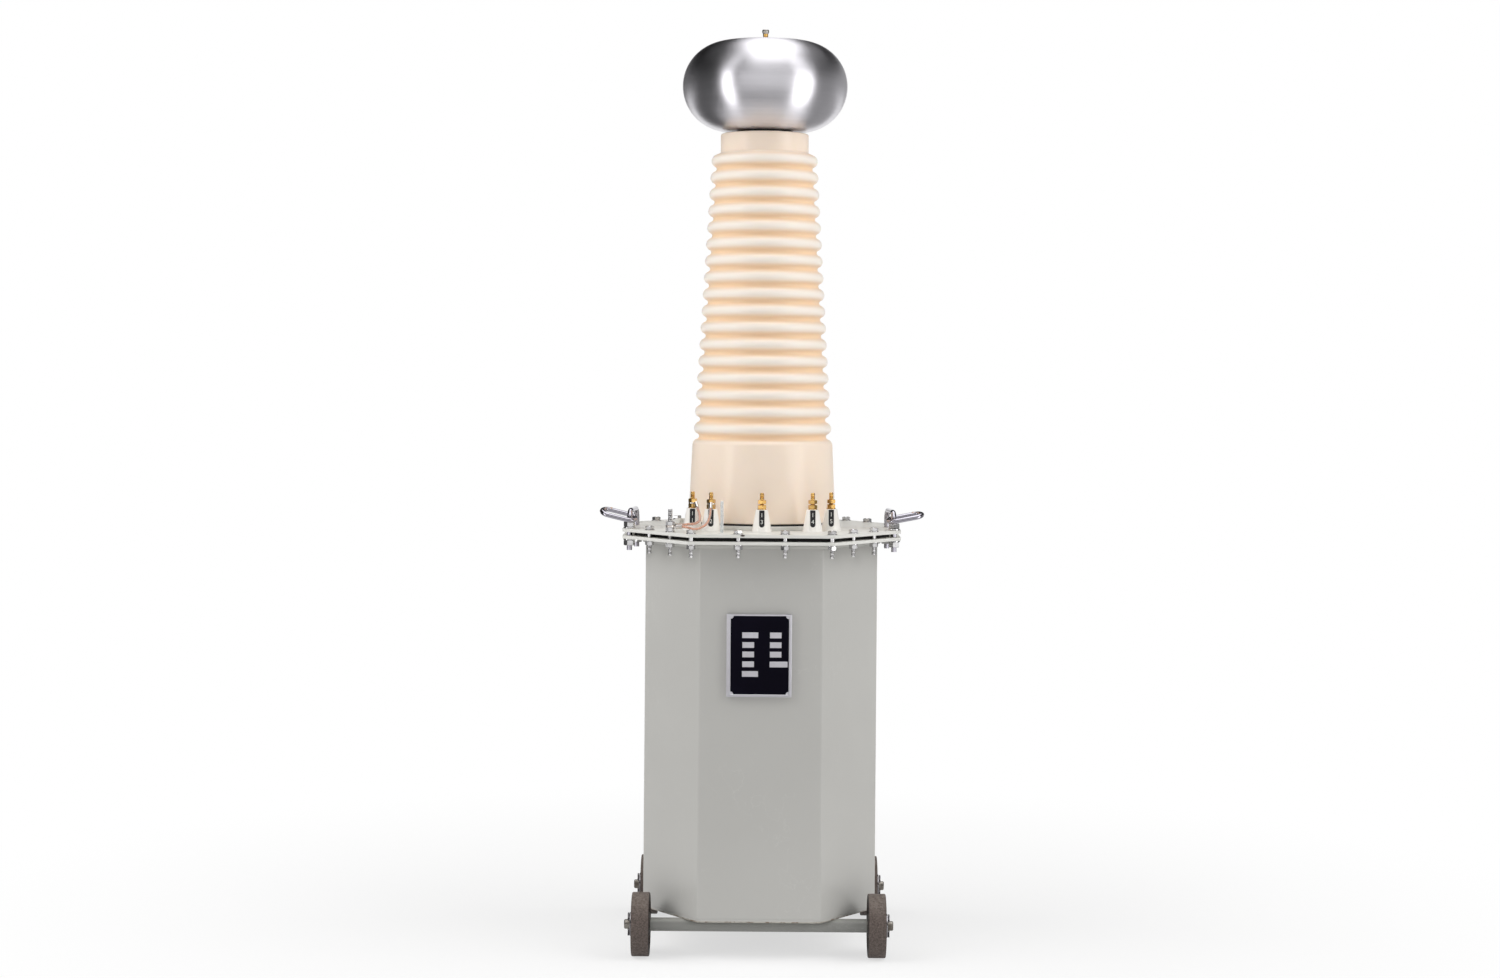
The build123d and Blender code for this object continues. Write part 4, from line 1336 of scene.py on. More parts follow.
@dataclass
class Bushing:
    """High-voltage bushing: plain skirt, seventeen rounded sheds and plain neck."""

    bottom: float = 0.5465
    top: float = 1.056
    foot_bore: float = 0.070
    head_bore: float = 0.036
    cap: float = 0.018
    lead_bore: float = 0.006
    skirt_radius: float = 0.097
    skirt_edge: float = 0.0008
    shoulder: Point = (0.0924, 0.646)
    first_valley: Point = (0.083844, 0.6574)
    ribs_end: Point = (0.064449, 1.02799)
    groove_share: float = 0.31
    neck_radius: float = 0.058
    neck_foot: float = 1.0308
    edge: float = 0.0025
    pitch: float = 0.022
    depth: float = 0.0074
    first_crest_radius: float = 0.0906
    taper: float = 0.058523
    crest_arc: float = 0.008195
    groove_arc: float = 0.003681
    crest_half_width: float = 0.00759
    segments: int = 160
    rows: int = 426

    def shoulder_points(self) -> list[Point]:
        """Round shoulder of the skirt and the half groove above it, up to the first valley.

        Returns:
            The points, upwards.
        """
        (shoulder_radius, shoulder_height), (valley_radius, valley_height) = self.shoulder, self.first_valley
        meet_radius = valley_radius + self.groove_share * (shoulder_radius - valley_radius)
        meet_height = valley_height - self.groove_share * (valley_height - shoulder_height)
        run, rise = shoulder_radius - meet_radius, meet_height - shoulder_height
        turn_radius = (run * run + rise * rise) / (2 * run)
        sweep = math.degrees(math.asin(min(1.0, rise / turn_radius)))
        drop, reach = meet_radius - valley_radius, valley_height - meet_height
        groove_radius = (drop * drop + reach * reach) / (2 * drop)
        groove_sweep = math.degrees(math.asin(min(1.0, reach / groove_radius)))
        round_centre = (shoulder_radius - turn_radius, shoulder_height)
        groove_centre = (valley_radius + groove_radius, valley_height)
        return [*arc(round_centre, turn_radius, 0, sweep, 10),
                *arc(groove_centre, groove_radius, 180 + groove_sweep, 180, 8)[1:]]

    def plain_body(self) -> Mesh:
        """Skirt, neck and bore as one open strip that the sheds close.

        Returns:
            The mesh.
        """
        neck, fillet, bottom, top = self.neck_radius, 0.002, self.bottom, self.top
        return turned("bushing_body", [
            self.ribs_end, *arc((neck + fillet, self.neck_foot + 0.0012), fillet, 250, 180, 6),
            *arc((neck - self.edge, top - self.edge), self.edge, 0, 90, 8),
            (self.lead_bore, top), (self.lead_bore, top - self.cap), (self.head_bore, top - self.cap),
            (self.foot_bore, bottom), (self.skirt_radius - self.skirt_edge, bottom),
            (self.skirt_radius, bottom + self.skirt_edge), (0.0955, 0.579), (0.0940, 0.611),
            *self.shoulder_points()], self.segments)

    def build(self) -> None:
        """Grows the sheds onto the body and dresses the bushing."""
        dress(Look.RESIN, "bushing")
        mesh = grown(TREES.sheds, "bushing_skin", Look.RESIN, {
            "Foot": self.first_valley[1], "Head": self.ribs_end[1], "Pitch": self.pitch,
            "First Crest Radius": self.first_crest_radius, "Taper": self.taper, "Depth": self.depth,
            "Crest Arc": self.crest_arc, "Groove Arc": self.groove_arc,
            "Crest Half Width": self.crest_half_width, "Segments": self.segments, "Rows": self.rows},
            self.plain_body())
        piece("bushing_skin", mesh, None, replaces=["bushing"])


@dataclass
class Electrode:
    """Spun aluminium electrode on its black collar, with the terminal on top."""

    collar_low: float = 1.056
    collar_radius: float = 0.037
    low: float = 1.060
    high: float = 1.1774
    flat_radius: float = 0.050
    wall: float = 0.002
    bore: float = 0.006
    post: tuple[Point, ...] = (
        (0.0, 0.0036), (0.0034, 0.0036), (0.0034, 0.0066), (0.0029, 0.0069), (0.0029, 0.0074),
        (0.0034, 0.0077), (0.0034, 0.0112), (0.0, 0.0112))
    cap: tuple[Point, ...] = (
        (0.0, 0.0109), (0.0035, 0.0109), (0.0044, 0.0126), (0.0045, 0.0129), (0.0045, 0.0158),
        (0.0042, 0.0163), (0.0036, 0.0166), (0.0, 0.01645))

    def shell(self) -> Mesh:
        """The hollow shell, with its half-round rim.

        Returns:
            The mesh.
        """
        rim = (self.high - self.low) / 2
        middle = (self.flat_radius, self.low + rim)
        return turned("electrode_shell", [
            (self.bore, self.low), *arc(middle, rim, -90, 90, 72), (self.bore, self.high),
            (self.bore, self.high - self.wall), *arc(middle, rim - self.wall, 90, -90, 36),
            (self.bore, self.low + self.wall)], 192, closed=True)

    def terminal(self) -> None:
        """Washer, hexagon foot, post and flared cap."""
        high, place = self.high, Matrix.Translation((0.0, 0.0, self.high))
        parts = [hexagon(M6_FLATS, high + 0.001, high + 0.004), disc(0.007, high, high + 0.001, segments=48),
                 turned("post", self.post, 48, place=place)]
        piece("top_terminal_post", merged("post", parts), Look.POST_BRASS,
              replaces=["top_terminal"])
        piece("top_terminal_cap", turned("cap", self.cap, 48, place=place), Look.CAP_NICKEL)

    def build(self) -> None:
        """Adds the shell, the collar and the terminal."""
        dress(Look.ALUMINIUM, "electrode")
        dress(Look.COLLAR, "electrode_collar")
        dress(Look.POST_BRASS, "top_terminal")
        piece("electrode_shell", self.shell(), Look.ALUMINIUM, replaces=["electrode"])
        collar = disc(self.collar_radius, self.collar_low, self.low, self.bore, edge=0.0006, segments=128)
        piece("collar_ring", collar, Look.COLLAR, replaces=["electrode_collar"])
        self.terminal()


@dataclass
class LidFasteners:
    """Lid bolts with their nuts, and the nuts of the staples."""

    tank: Tank
    washer_radius: float = 0.0063
    washer: float = 0.0012
    washer_bore: float = 0.0028
    head: float = 0.004
    nut: float = 0.005
    tail_low: float = 0.5098
    back_leg_inset: float = 0.006
    clearance: float = 0.010
    staple_flats: float = 0.013
    staple_nut: float = 0.007
    staple_washer_radius: float = 0.008
    staple_washer: float = 0.002
    staple_bore: float = 0.0034
    staple_low: float = 0.5114

    @property
    def front_leg(self) -> Vector:
        """Front leg of the right staple."""
        return self.tank.corners(self.tank.bolt_line)[2]

    @property
    def back_leg(self) -> Vector:
        """Back leg of the right staple."""
        return Vector((self.front_leg.x - self.back_leg_inset, 0.0))

    def places(self) -> list[Vector]:
        """Every place on the bolt line, from front left round: two to a side wall, three to another.

        Returns:
            The plan points.
        """
        corners = self.tank.corners(self.tank.bolt_line)
        found = []
        for index, corner in enumerate(corners):
            ahead = corners[(index + 1) % 8]
            steps = 2 if abs(corner.x - ahead.x) < 0.001 else 3
            found += [corner.lerp(ahead, step / steps) for step in range(steps)]
        return found

    def earth_place(self) -> Vector:
        """The earth stud's place."""
        corners = self.tank.corners(self.tank.bolt_line)
        return corners[0].lerp(corners[7], 1 / 3)

    def plain_places(self) -> list[Vector]:
        """Places that hold an ordinary bolt.

        Returns:
            The plan points.
        """
        legs = (self.front_leg, self.back_leg)
        taken = [Vector((side * leg.x, leg.y)) for _, side in SIDES for leg in legs]
        taken.append(self.earth_place())
        return [place for place in self.places()
                if all((place - other).length > self.clearance for other in taken)]

    def build(self) -> None:
        """Adds bolts, threads and nuts, each kind as one piece."""
        dress(Look.ZINC, "lid_bolts", "lid_bolt_nuts", "staple_nuts")
        top, under, wide = LID_TOP, FLANGE_BOTTOM, self.washer_radius
        places = self.plain_places()
        bolt = [
            hexagon(M6_FLATS, top + self.washer, top + self.washer + self.head, dished=True),
            disc(wide, top, top + self.washer, self.washer_bore),
            turned("shank", [(0.0, under - 0.004), (M6_RADIUS, under - 0.004), (M6_RADIUS, top + 0.0016),
                             (0.0, top + 0.0016)], 24)]
        heads = TREES.set_fasteners("bolt_heads", bolt, places, Look.ZINC, 5)
        piece("bolt_heads", heads, None, replaces=["lid_bolts"])
        length = under - self.tail_low - 0.002
        tails = TREES.cut_threads("bolt_tails", places, self.tail_low, M6_RADIUS, length, Look.ZINC)
        piece("bolt_tails", tails, None)
        nut = [hexagon(M6_FLATS, under - self.washer - self.nut, under - self.washer, M6_NUT_BORE),
               disc(wide, under - self.washer, under, self.washer_bore)]
        nuts = TREES.set_fasteners("flange_nuts", nut, places, Look.ZINC, 11)
        piece("flange_nuts", nuts, None, replaces=["lid_bolt_nuts"])
        self.staple_nuts()

    def staple_nuts(self) -> None:
        """Nuts and washers on both sides of the lid at the staples' legs, and the leg threads."""
        fronts, backs = ([Vector((side * leg.x, leg.y)) for _, side in SIDES]
                         for leg in (self.front_leg, self.back_leg))
        legs = [fronts[0], backs[0], fronts[1], backs[1]]
        thin, tall, bore = self.staple_washer, self.staple_washer + self.staple_nut, self.staple_bore
        sets = []
        for face, way, held in ((LID_TOP, 1, fronts), (FLANGE_BOTTOM, -1, legs)):
            nut_span = sorted((face + way * thin, face + way * tall))
            washer_span = sorted((face, face + way * thin))
            parts = [hexagon(self.staple_flats, *nut_span, bore),
                     disc(self.staple_washer_radius, *washer_span, bore, segments=48)]
            sets.append(TREES.set_fasteners("leg_nut_set", parts, held, Look.ZINC, 4))
        piece("staple_leg_nuts", merged("leg_nuts", sets), Look.ZINC, replaces=["staple_nuts"])
        tails = TREES.cut_threads("leg_tails", legs, self.staple_low, 0.0037, 0.0075, Look.CHROME, 0.00125)
        piece("leg_threads", tails, Look.CHROME)


@dataclass
class Terminals:
    """Low-voltage insulators with their label strips, studs and nuts."""

    places: tuple[Point, ...] = (
        (-0.089, -0.088), (-0.065, -0.107), (0.0, -0.118), (0.065, -0.107), (0.089, -0.088))
    insulator: float = 0.028
    base_radius: float = 0.0127
    head_radius: float = 0.0078
    head_edge: float = 0.0008
    strip_width: float = 0.0068
    strip_low: float = -0.0083
    strip_high: float = 0.0136
    stud_low: float = 0.521
    stud_top: float = 0.5882
    nut: float = 0.005
    lug: float = 0.0012
    figure_size: float = 0.0075
    figure_heights: Point = (0.0072, -0.0016)

    def stud_hardware(self) -> list[Mesh]:
        """Washer, two nuts and the stud's point.

        Returns:
            The meshes.
        """
        head, tip = LID_TOP + self.insulator, self.stud_top
        first = head + 0.001
        second = first + self.nut + self.lug
        return [
            disc(0.006, head, first, M6_NUT_BORE),
            hexagon(M6_FLATS, first, first + self.nut, M6_NUT_BORE),
            hexagon(M6_FLATS, second, second + self.nut, M6_NUT_BORE),
            turned("point", [(0.0, tip - 0.0015), (0.0025, tip - 0.0015), (0.0025, tip - 0.0006),
                             (0.0018, tip), (0.0, tip)], 24)]

    def strip_outline(self, grow: float) -> list[Point]:
        """Outline of a label strip, round at its foot, as points across and along the slope.

        Args:
            grow: how far it is wider than the strip.

        Returns:
            The points.
        """
        half, corner = self.strip_width / 2 + grow, 0.0006
        low, high = self.strip_low - grow, self.strip_high + min(grow, 0.0004)
        return [*arc((0.0, low + half), half, 180, 360, 16),
                *arc((half - corner, high - corner), corner, 0, 90, 3),
                *arc((corner - half, high - corner), corner, 90, 180, 3)]

    def slope_place(self, x: float, y: float) -> Matrix:
        """Place on the front line of one insulator: X across, Y up the slope, Z outwards.

        Args:
            x: the insulator's place.
            y: its place towards the back.

        Returns:
            The place.
        """
        slope = math.atan2(self.base_radius - self.head_radius, self.insulator)
        facing = Vector((0, -math.cos(slope), math.sin(slope)))
        up = Vector((0, math.sin(slope), math.cos(slope)))
        place = Matrix((Vector((1, 0, 0)), up, facing)).transposed().to_4x4()
        middle_radius = (self.base_radius + self.head_radius) / 2
        place.translation = Vector((x, y - middle_radius, LID_TOP + self.insulator / 2))
        return place

    def slab(self, grow: float, low: float, high: float, edge: float, place: Matrix) -> Mesh:
        """Plate of the strip's outline with a softened face edge.

        Args:
            grow: how far it is wider than the strip.
            low: its back, from the insulator's slope.
            high: its face, from the slope.
            edge: how far the face's edge is cut back.
            place: the slope.

        Returns:
            The plate, closed at both faces.
        """
        outline, inset = self.strip_outline(grow), self.strip_outline(grow - edge)
        middle = [(0.0, (self.strip_low + self.strip_high) / 2)] * len(outline)
        return skin("slab", [[place @ Vector((x, y, height)) for x, y in points] for points, height in (
            (middle, low), (outline, low), (outline, high - edge), (inset, high), (middle, high))])

    def cones(self) -> Mesh:
        """Tapered insulators, each with the raised seat of its strip.

        Returns:
            The mesh.
        """
        low, high, edge = LID_TOP, LID_TOP + self.insulator, self.head_edge
        body = [(0.0, low), (self.base_radius, low), (self.base_radius, low + 0.0012),
                (self.head_radius + 0.0001, high - edge),
                *arc((self.head_radius - edge, high - edge), edge, 10, 90, 5), (0.0, high)]
        parts = []
        for x, y in self.places:
            parts.append(turned("cone", body, 96, place=Matrix.Translation((x, y, 0.0))))
            parts.append(self.slab(0.0012, -0.004, 0.0004, 0.0003, self.slope_place(x, y)))
        return merged("insulator_cones", parts)

    def numerals(self) -> Mesh:
        """Plain two-figure numbers, one figure under the other, on the label strips.

        Returns:
            The mesh.
        """
        singles = []
        for number, (x, y) in enumerate(self.places, start=11):
            for figure, height in zip(str(number), self.figure_heights):
                text = bpy.data.curves.new(f"numeral_{number}", "FONT")
                text.body = figure
                text.size = self.figure_size
                text.align_x = text.align_y = "CENTER"
                text.extrude = 0.00004
                mesh = plain_mesh(in_scene(text.name, text), "figure")
                mesh.transform(self.slope_place(x, y) @ Matrix.Translation((0.0, height, 0.00051)))
                singles.append(mesh)
        return merged("terminal_numerals", singles)

    def build(self) -> None:
        """Adds the insulators, their strips and numbers, and the studs."""
        dress(Look.INSULATOR, "terminal_insulators")
        dress(Look.STRIP, "terminal_labels")
        dress(Look.BRASS, "terminal_studs")
        piece("insulator_cones", self.cones(), Look.INSULATOR,
              replaces=["terminal_insulators"])
        strips = [self.slab(0.0, -0.002, 0.0005, 0.00012, self.slope_place(x, y)) for x, y in self.places]
        piece("label_strips", merged("strips", strips), Look.STRIP,
              replaces=["terminal_labels"])
        piece("terminal_numerals", self.numerals(), Look.NUMERAL)
        nuts = TREES.set_fasteners("stud_nuts", self.stud_hardware(), self.places, Look.BRASS, 21)
        length = self.stud_top - self.stud_low - 0.001
        shafts = TREES.cut_threads("studs", self.places, self.stud_low, M6_RADIUS, length, Look.BRASS)
        piece("stud_set", merged("stud_set", [nuts, shafts]), Look.BRASS,
              replaces=["terminal_studs"])


@dataclass
class EarthConnection:
    """Earth stud, ring lugs and the two stranded leads in their clear sleeves."""

    place: Vector
    stud_low: float = 0.5098
    stud_top: float = 0.568
    washer_radius: float = 0.0063
    washer: float = 0.0012
    nut: float = 0.005
    lugs: float = 0.0024
    routes: dict[str, tuple[Place, ...]] = field(default_factory=lambda: {
        "front": ((-0.0654, -0.1198, 0.5679), (-0.0656, -0.1250, 0.5605), (-0.0695, -0.1345, 0.5480),
                  (-0.0840, -0.1440, 0.5418), (-0.0935, -0.1455, 0.5455), (-0.1005, -0.1443, 0.5463)),
        "rear": ((-0.0826, -0.0991, 0.5679), (-0.0800, -0.1036, 0.5605), (-0.0785, -0.1125, 0.5535),
                 (-0.0830, -0.1215, 0.5486), (-0.0949, -0.1279, 0.5481), (-0.1025, -0.1327, 0.5475))})
    layers: tuple[tuple[int, float, float], ...] = ((8, 0.00092, 4.0), (3, 0.00035, 5.0))
    lead_radius: float = 0.0019

    def lead(self, label: str, points: Sequence[Place]) -> None:
        """Adds the strands and the sleeve of one lead.

        Args:
            label: front or rear.
            points: its route, given as points.
        """
        strands = [
            grown(TREES.strands, "strands", Look.COPPER, {
                "Route": route_through("strand_route", points, rounded=True), "Strands": count,
                "Lay Radius": lay, "Turns": turns})
            for count, lay, turns in self.layers]
        piece(f"lead_strands_{label}", merged("strands", strands, 70), Look.COPPER,
              replaces=["earth_lead_" + label])
        route = route_through("sleeve_route", points, rounded=True)
        route.data.bevel_depth = self.lead_radius
        route.data.bevel_resolution = 5
        route.data.use_fill_caps = True
        piece(f"lead_sleeve_{label}", plain_mesh(route, "sleeve"), Look.SLEEVE)

    def build(self) -> None:
        """Adds the stud with its nuts, and the leads, and dresses the lugs."""
        dress(Look.TINNED, "terminal_lug_front", "terminal_lug_rear", "earth_lug_front", "earth_lug_rear")
        dress(Look.ZINC, "earth_stud")
        dress(Look.COPPER, "earth_lead_front", "earth_lead_rear")
        under, seat = FLANGE_BOTTOM, LID_TOP + self.washer
        above = seat + self.nut + self.lugs
        parts = [
            disc(self.washer_radius, LID_TOP, seat, M6_NUT_BORE),
            hexagon(M6_FLATS, seat, seat + self.nut, M6_NUT_BORE),
            hexagon(M6_FLATS, above, above + self.nut, M6_NUT_BORE),
            disc(self.washer_radius, under - self.washer, under, M6_NUT_BORE),
            hexagon(M6_FLATS, under - self.washer - self.nut, under - self.washer, M6_NUT_BORE)]
        nuts = TREES.set_fasteners("earth_nuts", parts, [self.place], Look.ZINC, 9)
        length = self.stud_top - self.stud_low
        shaft = TREES.cut_threads("earth_shaft", [self.place], self.stud_low, M6_RADIUS, length, Look.ZINC)
        piece("earth_stud_set", merged("earth_stud_set", [nuts, shaft]), Look.ZINC,
              replaces=["earth_stud"])
        for label, points in self.routes.items():
            self.lead(label, points)


@dataclass
class LiftingGear:
    """Staples and their oval links, bright plated bar."""

    leg_y: float = -0.069118
    inner_end: float = 0.1635
    height: float = 0.5512
    bar: float = 0.0031
    length: float = 0.0442
    width: float = 0.0192
    round_steps: int = 20
    tilts: dict[str, float] = field(default_factory=lambda: {"left": 13.5, "right": 11.0})
    leans: dict[str, float] = field(default_factory=lambda: {"left": 19.0, "right": 10.0})

    def settled(self, mesh: Mesh, side_name: str, side: int) -> Mesh:
        """Tilts and moves a mesh drawn flat along +X into the link's place.

        Args:
            mesh: the mesh, which is changed.
            side_name: left or right.
            side: -1 for left or 1 for right.

        Returns:
            The same mesh.
        """
        place = Matrix.Translation((side * self.inner_end, self.leg_y, self.height))
        place = place @ Matrix.Rotation(-side * math.radians(self.tilts[side_name]), 4, "Y")
        place = place @ Matrix.Rotation(math.radians(self.leans[side_name]), 4, "X")
        if side < 0:
            place = place @ Matrix.Diagonal((-1.0, 1.0, 1.0, 1.0))
            mesh.flip_normals()
        mesh.transform(place)
        return mesh

    def link(self) -> Mesh:
        """One closed oval of round bar, flat, with its inner end at the origin.

        Returns:
            The mesh.
        """
        half, steps = self.width / 2, self.round_steps
        rings = []
        for centre, start in ((half, 90.0), (self.length - half, -90.0)):
            for x, y in arc((centre, 0.0), half, start, start + 180.0, steps):
                out = Vector((x - centre, y, 0.0)).normalized()
                rings.append([
                    Vector((x, y, 0.0)) + out * (self.bar * math.cos(TURN * step / steps))
                    + Vector((0, 0, self.bar * math.sin(TURN * step / steps))) for step in range(steps)])
        return smooth(skin("link", rings, closed=True), 80)

    def weld_spot(self) -> Mesh:
        """The small brown weld on top of the bar, near the link's outer end.

        Returns:
            The mesh.
        """
        place = Matrix.Translation((self.length - 0.0105, self.width / 2, self.bar * 0.75))
        return turned("spot", arc((0.0, 0.0), 0.0017, -90, 90, 12), 24,
                      place=place @ Matrix.Diagonal((1.4, 1.1, 0.6, 1.0)))

    def build(self) -> None:
        """Adds the links with their weld spots and dresses the staples."""
        for side_name, side in SIDES:
            node = "lifting_link_" + side_name
            dress(Look.CHROME, "lifting_staple_" + side_name, node)
            piece("oval_link_" + side_name, self.settled(self.link(), side_name, side), Look.CHROME,
                  node, [node])
            piece("link_weld_" + side_name, self.settled(self.weld_spot(), side_name, side), Look.BRAZE,
                  node)


@dataclass
class Nameplate:
    """Silver frame with a near-black plate and bare silver fields."""

    back: float = -0.156
    front: float = -0.1625
    centre_height: float = 0.3856
    frame_shift: Point = (-0.0021, 0.0)
    panel_shift: Point = (-0.0014, 0.0005)
    frame_size: Point = (0.0824, 0.1046)
    panel_size: Point = (0.0736, 0.0990)
    recess: float = 0.0016
    soft: float = 0.0007
    notch: float = 0.0036
    rows: tuple[float, ...] = (0.246, 0.370, 0.490, 0.615, 0.738)
    field_height: float = 0.0072
    columns: dict[str, Point] = field(default_factory=lambda: {
        "left_short": (0.203, 0.404), "left_long": (0.199, 0.474),
        "right_short": (0.674, 0.872), "right_long": (0.671, 0.978)})
    layout: tuple[tuple[str, ...], ...] = (
        ("left_long", "right_short"), ("left_short", "right_short"), ("left_short", "right_short"),
        ("left_short", "right_long"), ("left_long",))

    def outline(self, size: Point, inset: float, depth: float, radius: float, shift: Point,
                hollow: bool = False) -> Ring:
        """Closed outline whose corners are rounded, or hollowed where the plate is notched.

        Args:
            size: whole width and height.
            inset: how far the outline lies inside that size.
            depth: its place along Y.
            radius: radius of the corners.
            shift: its move from the nameplate's centre.
            hollow: whether the corners are hollowed.

        Returns:
            The points.
        """
        ring = []
        for turn_x, turn_z, start in ((1, 1, 0.0), (-1, 1, 90.0), (-1, -1, 180.0), (1, -1, 270.0)):
            x = turn_x * (size[0] / 2 - inset) + shift[0]
            z = turn_z * (size[1] / 2 - inset) + shift[1] + self.centre_height
            if hollow:
                points = arc((x, z), radius, start + 270.0, start + 180.0, 8)
            else:
                points = arc((x - turn_x * radius, z - turn_z * radius), radius, start, start + 90.0, 8)
            ring += [Vector((across, depth, up)) for across, up in points]
        return ring

    def frame_mesh(self) -> Mesh:
        """Frame with softened edges and a tray floor behind the plate.

        Returns:
            The mesh.
        """
        soft, front, floor = self.soft, self.front, self.front + self.recess
        outer = ((0.0, self.back), (0.0, front + soft), (soft * 0.3, front + soft * 0.3), (soft, front))
        inner = ((-0.0004, front), (0.0, front + 0.0004), (0.0, floor))
        rings = [
            self.outline(size, inset, depth, radius, shift)
            for size, radius, shift, rows in (
                (self.frame_size, 0.0008, self.frame_shift, outer),
                (self.panel_size, 0.0005, self.panel_shift, inner))
            for inset, depth in rows]
        half = (self.panel_size[0] / 2, self.panel_size[1] / 2)
        rings.append(self.outline(half, 0.0, floor, 0.0005, self.panel_shift))
        rings.append(self.outline((0.0, 0.0), 0.0, floor, 0.0, self.panel_shift))
        return skin("plate_frame", rings)

    def plate_mesh(self) -> Mesh:
        """Thin plate with hollow corners.

        Returns:
            The mesh.
        """
        size, shift, notch = self.panel_size, self.panel_shift, self.notch
        floor, face = self.front + self.recess, self.front + 0.0009
        inner = tuple(0.6 * (length - 0.0004) for length in size)
        return skin("plate_panel", [
            self.outline(size, 0.0002, floor, notch, shift, hollow=True),
            self.outline(size, 0.0002, face + 0.0001, notch, shift, hollow=True),
            self.outline(size, 0.0003, face, notch, shift, hollow=True),
            self.outline(inner, 0.0, face, 0.0004, shift, hollow=True),
            self.outline((0.0, 0.0), 0.0, face, 0.0, shift)])

    def fields(self) -> Mesh:
        """Thin bare fields on the plate.

        Returns:
            The mesh.
        """
        width, height = self.panel_size
        left = self.panel_shift[0] - width / 2
        top = self.centre_height + self.panel_shift[1] + height / 2
        work = bmesh.new()
        for share, names in zip(self.rows, self.layout):
            for name in names:
                start, end = (left + edge * width for edge in self.columns[name])
                place = Matrix.Translation(((start + end) / 2, self.front + 0.00084, top - share * height))
                place = place @ Matrix.Diagonal((end - start, 0.0003, self.field_height, 1.0))
                bmesh.ops.create_cube(work, size=1.0, matrix=place)
        bmesh.ops.bevel(work, geom=work.edges[:], offset=0.00006, segments=1, affect="EDGES")
        return smooth(written(work, "plate_fields"))

    def build(self) -> None:
        """Adds frame, plate and fields."""
        dress(Look.SATIN_SILVER, "nameplate_frame")
        dress(Look.PANEL, "nameplate")
        piece("plate_frame", self.frame_mesh(), Look.SATIN_SILVER,
              replaces=["nameplate_frame"])
        piece("plate_panel", self.plate_mesh(), Look.PANEL, replaces=["nameplate"])
        piece("plate_fields", self.fields(), Look.SATIN_SILVER)


@dataclass
class RunningGear:
    """Wheels, axle pipes, rods, washers and split pins."""

    radius: float = 0.040
    width: float = 0.0225
    inner_face: float = 0.1385
    axle_y: float = 0.129
    hub: float = 0.015
    rim_depth: float = 0.009
    recess: float = 0.003
    bore: float = 0.00605
    tread_edge: float = 0.0014
    pipe_radius: float = 0.0085
    pipe_bore: float = 0.0063
    pipe_half: float = 0.1378
    hanger_half: float = 0.072

    def pipe(self, end_name: str, end: int) -> None:
        """Adds one axle pipe with its weld to the tank floor.

        Args:
            end_name: front or rear.
            end: -1 for front or 1 for rear.
        """
        outer, inner, half, edge = self.pipe_radius, self.pipe_bore, self.pipe_half, 0.0004
        place = Matrix.Translation((0.0, end * self.axle_y, self.radius))
        tube = turned("pipe", [
            (inner, -half), (outer - edge, -half), (outer, edge - half), (outer, half - edge),
            (outer - edge, half), (inner, half)], 64, True, place @ Matrix.Rotation(math.pi / 2, 4, "Y"))
        seams = []
        for side in (-1, 1):
            y, z = end * self.axle_y + side * 0.0042, self.radius + 0.0077
            route = route_through("seam_route", [(-self.hanger_half, y, z), (self.hanger_half, y, z)])
            seams.append(TREES.lay_bead("seam", route, 0.0026, 5 + side, Look.WELD))
        piece(end_name + "_axle_pipe", tube, Look.PIPE_ENAMEL,
              replaces=[end_name + "_axle_tube"])
        piece(end_name + "_hanger_weld", merged("hanger_weld", seams, 80), Look.WELD)

    def wheel(self, name: str, side: int, end: int) -> None:
        """Adds one wheel with rounded tread edges and moulding lines.

        Args:
            name: the wheel's solid and body.
            side: -1 for left or 1 for right.
            end: -1 for front or 1 for rear.
        """
        rim, hub, recess, edge = self.radius - self.rim_depth, self.hub, self.recess, self.tread_edge
        half = [
            (self.bore, 0.0), (hub - 0.0004, 0.0), (hub, 0.0004), (hub, recess - 0.0004),
            (hub + 0.0004, recess), (rim - 0.0006, recess), (rim, recess - 0.0006), (rim, 0.0005),
            (rim + 0.0005, 0.0),
            (rim + 0.0042, 0.0), (rim + 0.0044, 0.00025), (rim + 0.0048, 0.00025), (rim + 0.0050, 0.0),
            *arc((self.radius - edge, edge), edge, -90, 0, 6)]
        points = half + [(radius, self.width - height) for radius, height in reversed(half)]
        place = Matrix.Translation((side * self.inner_face, end * self.axle_y, self.radius))
        mesh = turned("tyre", points, 144, True, place @ Matrix.Rotation(side * math.pi / 2, 4, "Y"))
        piece(name + "_tyre", mesh, Look.WHEEL, name, [name])

    def build(self) -> None:
        """Adds the wheels and dresses the axles."""
        for end_name, end in (("front", -1), ("rear", 1)):
            dress(Look.PIPE_ENAMEL, end_name + "_axle_tube")
            dress(Look.ROD_STEEL, end_name + "_axle_rod")
            self.pipe(end_name, end)
            for side_name, side in SIDES:
                name = f"wheel_{end_name}_{side_name}"
                dress(Look.WHEEL, name)
                self.wheel(name, side, end)
        dress(Look.PIN_STEEL, "axle_washers", "split_pins")


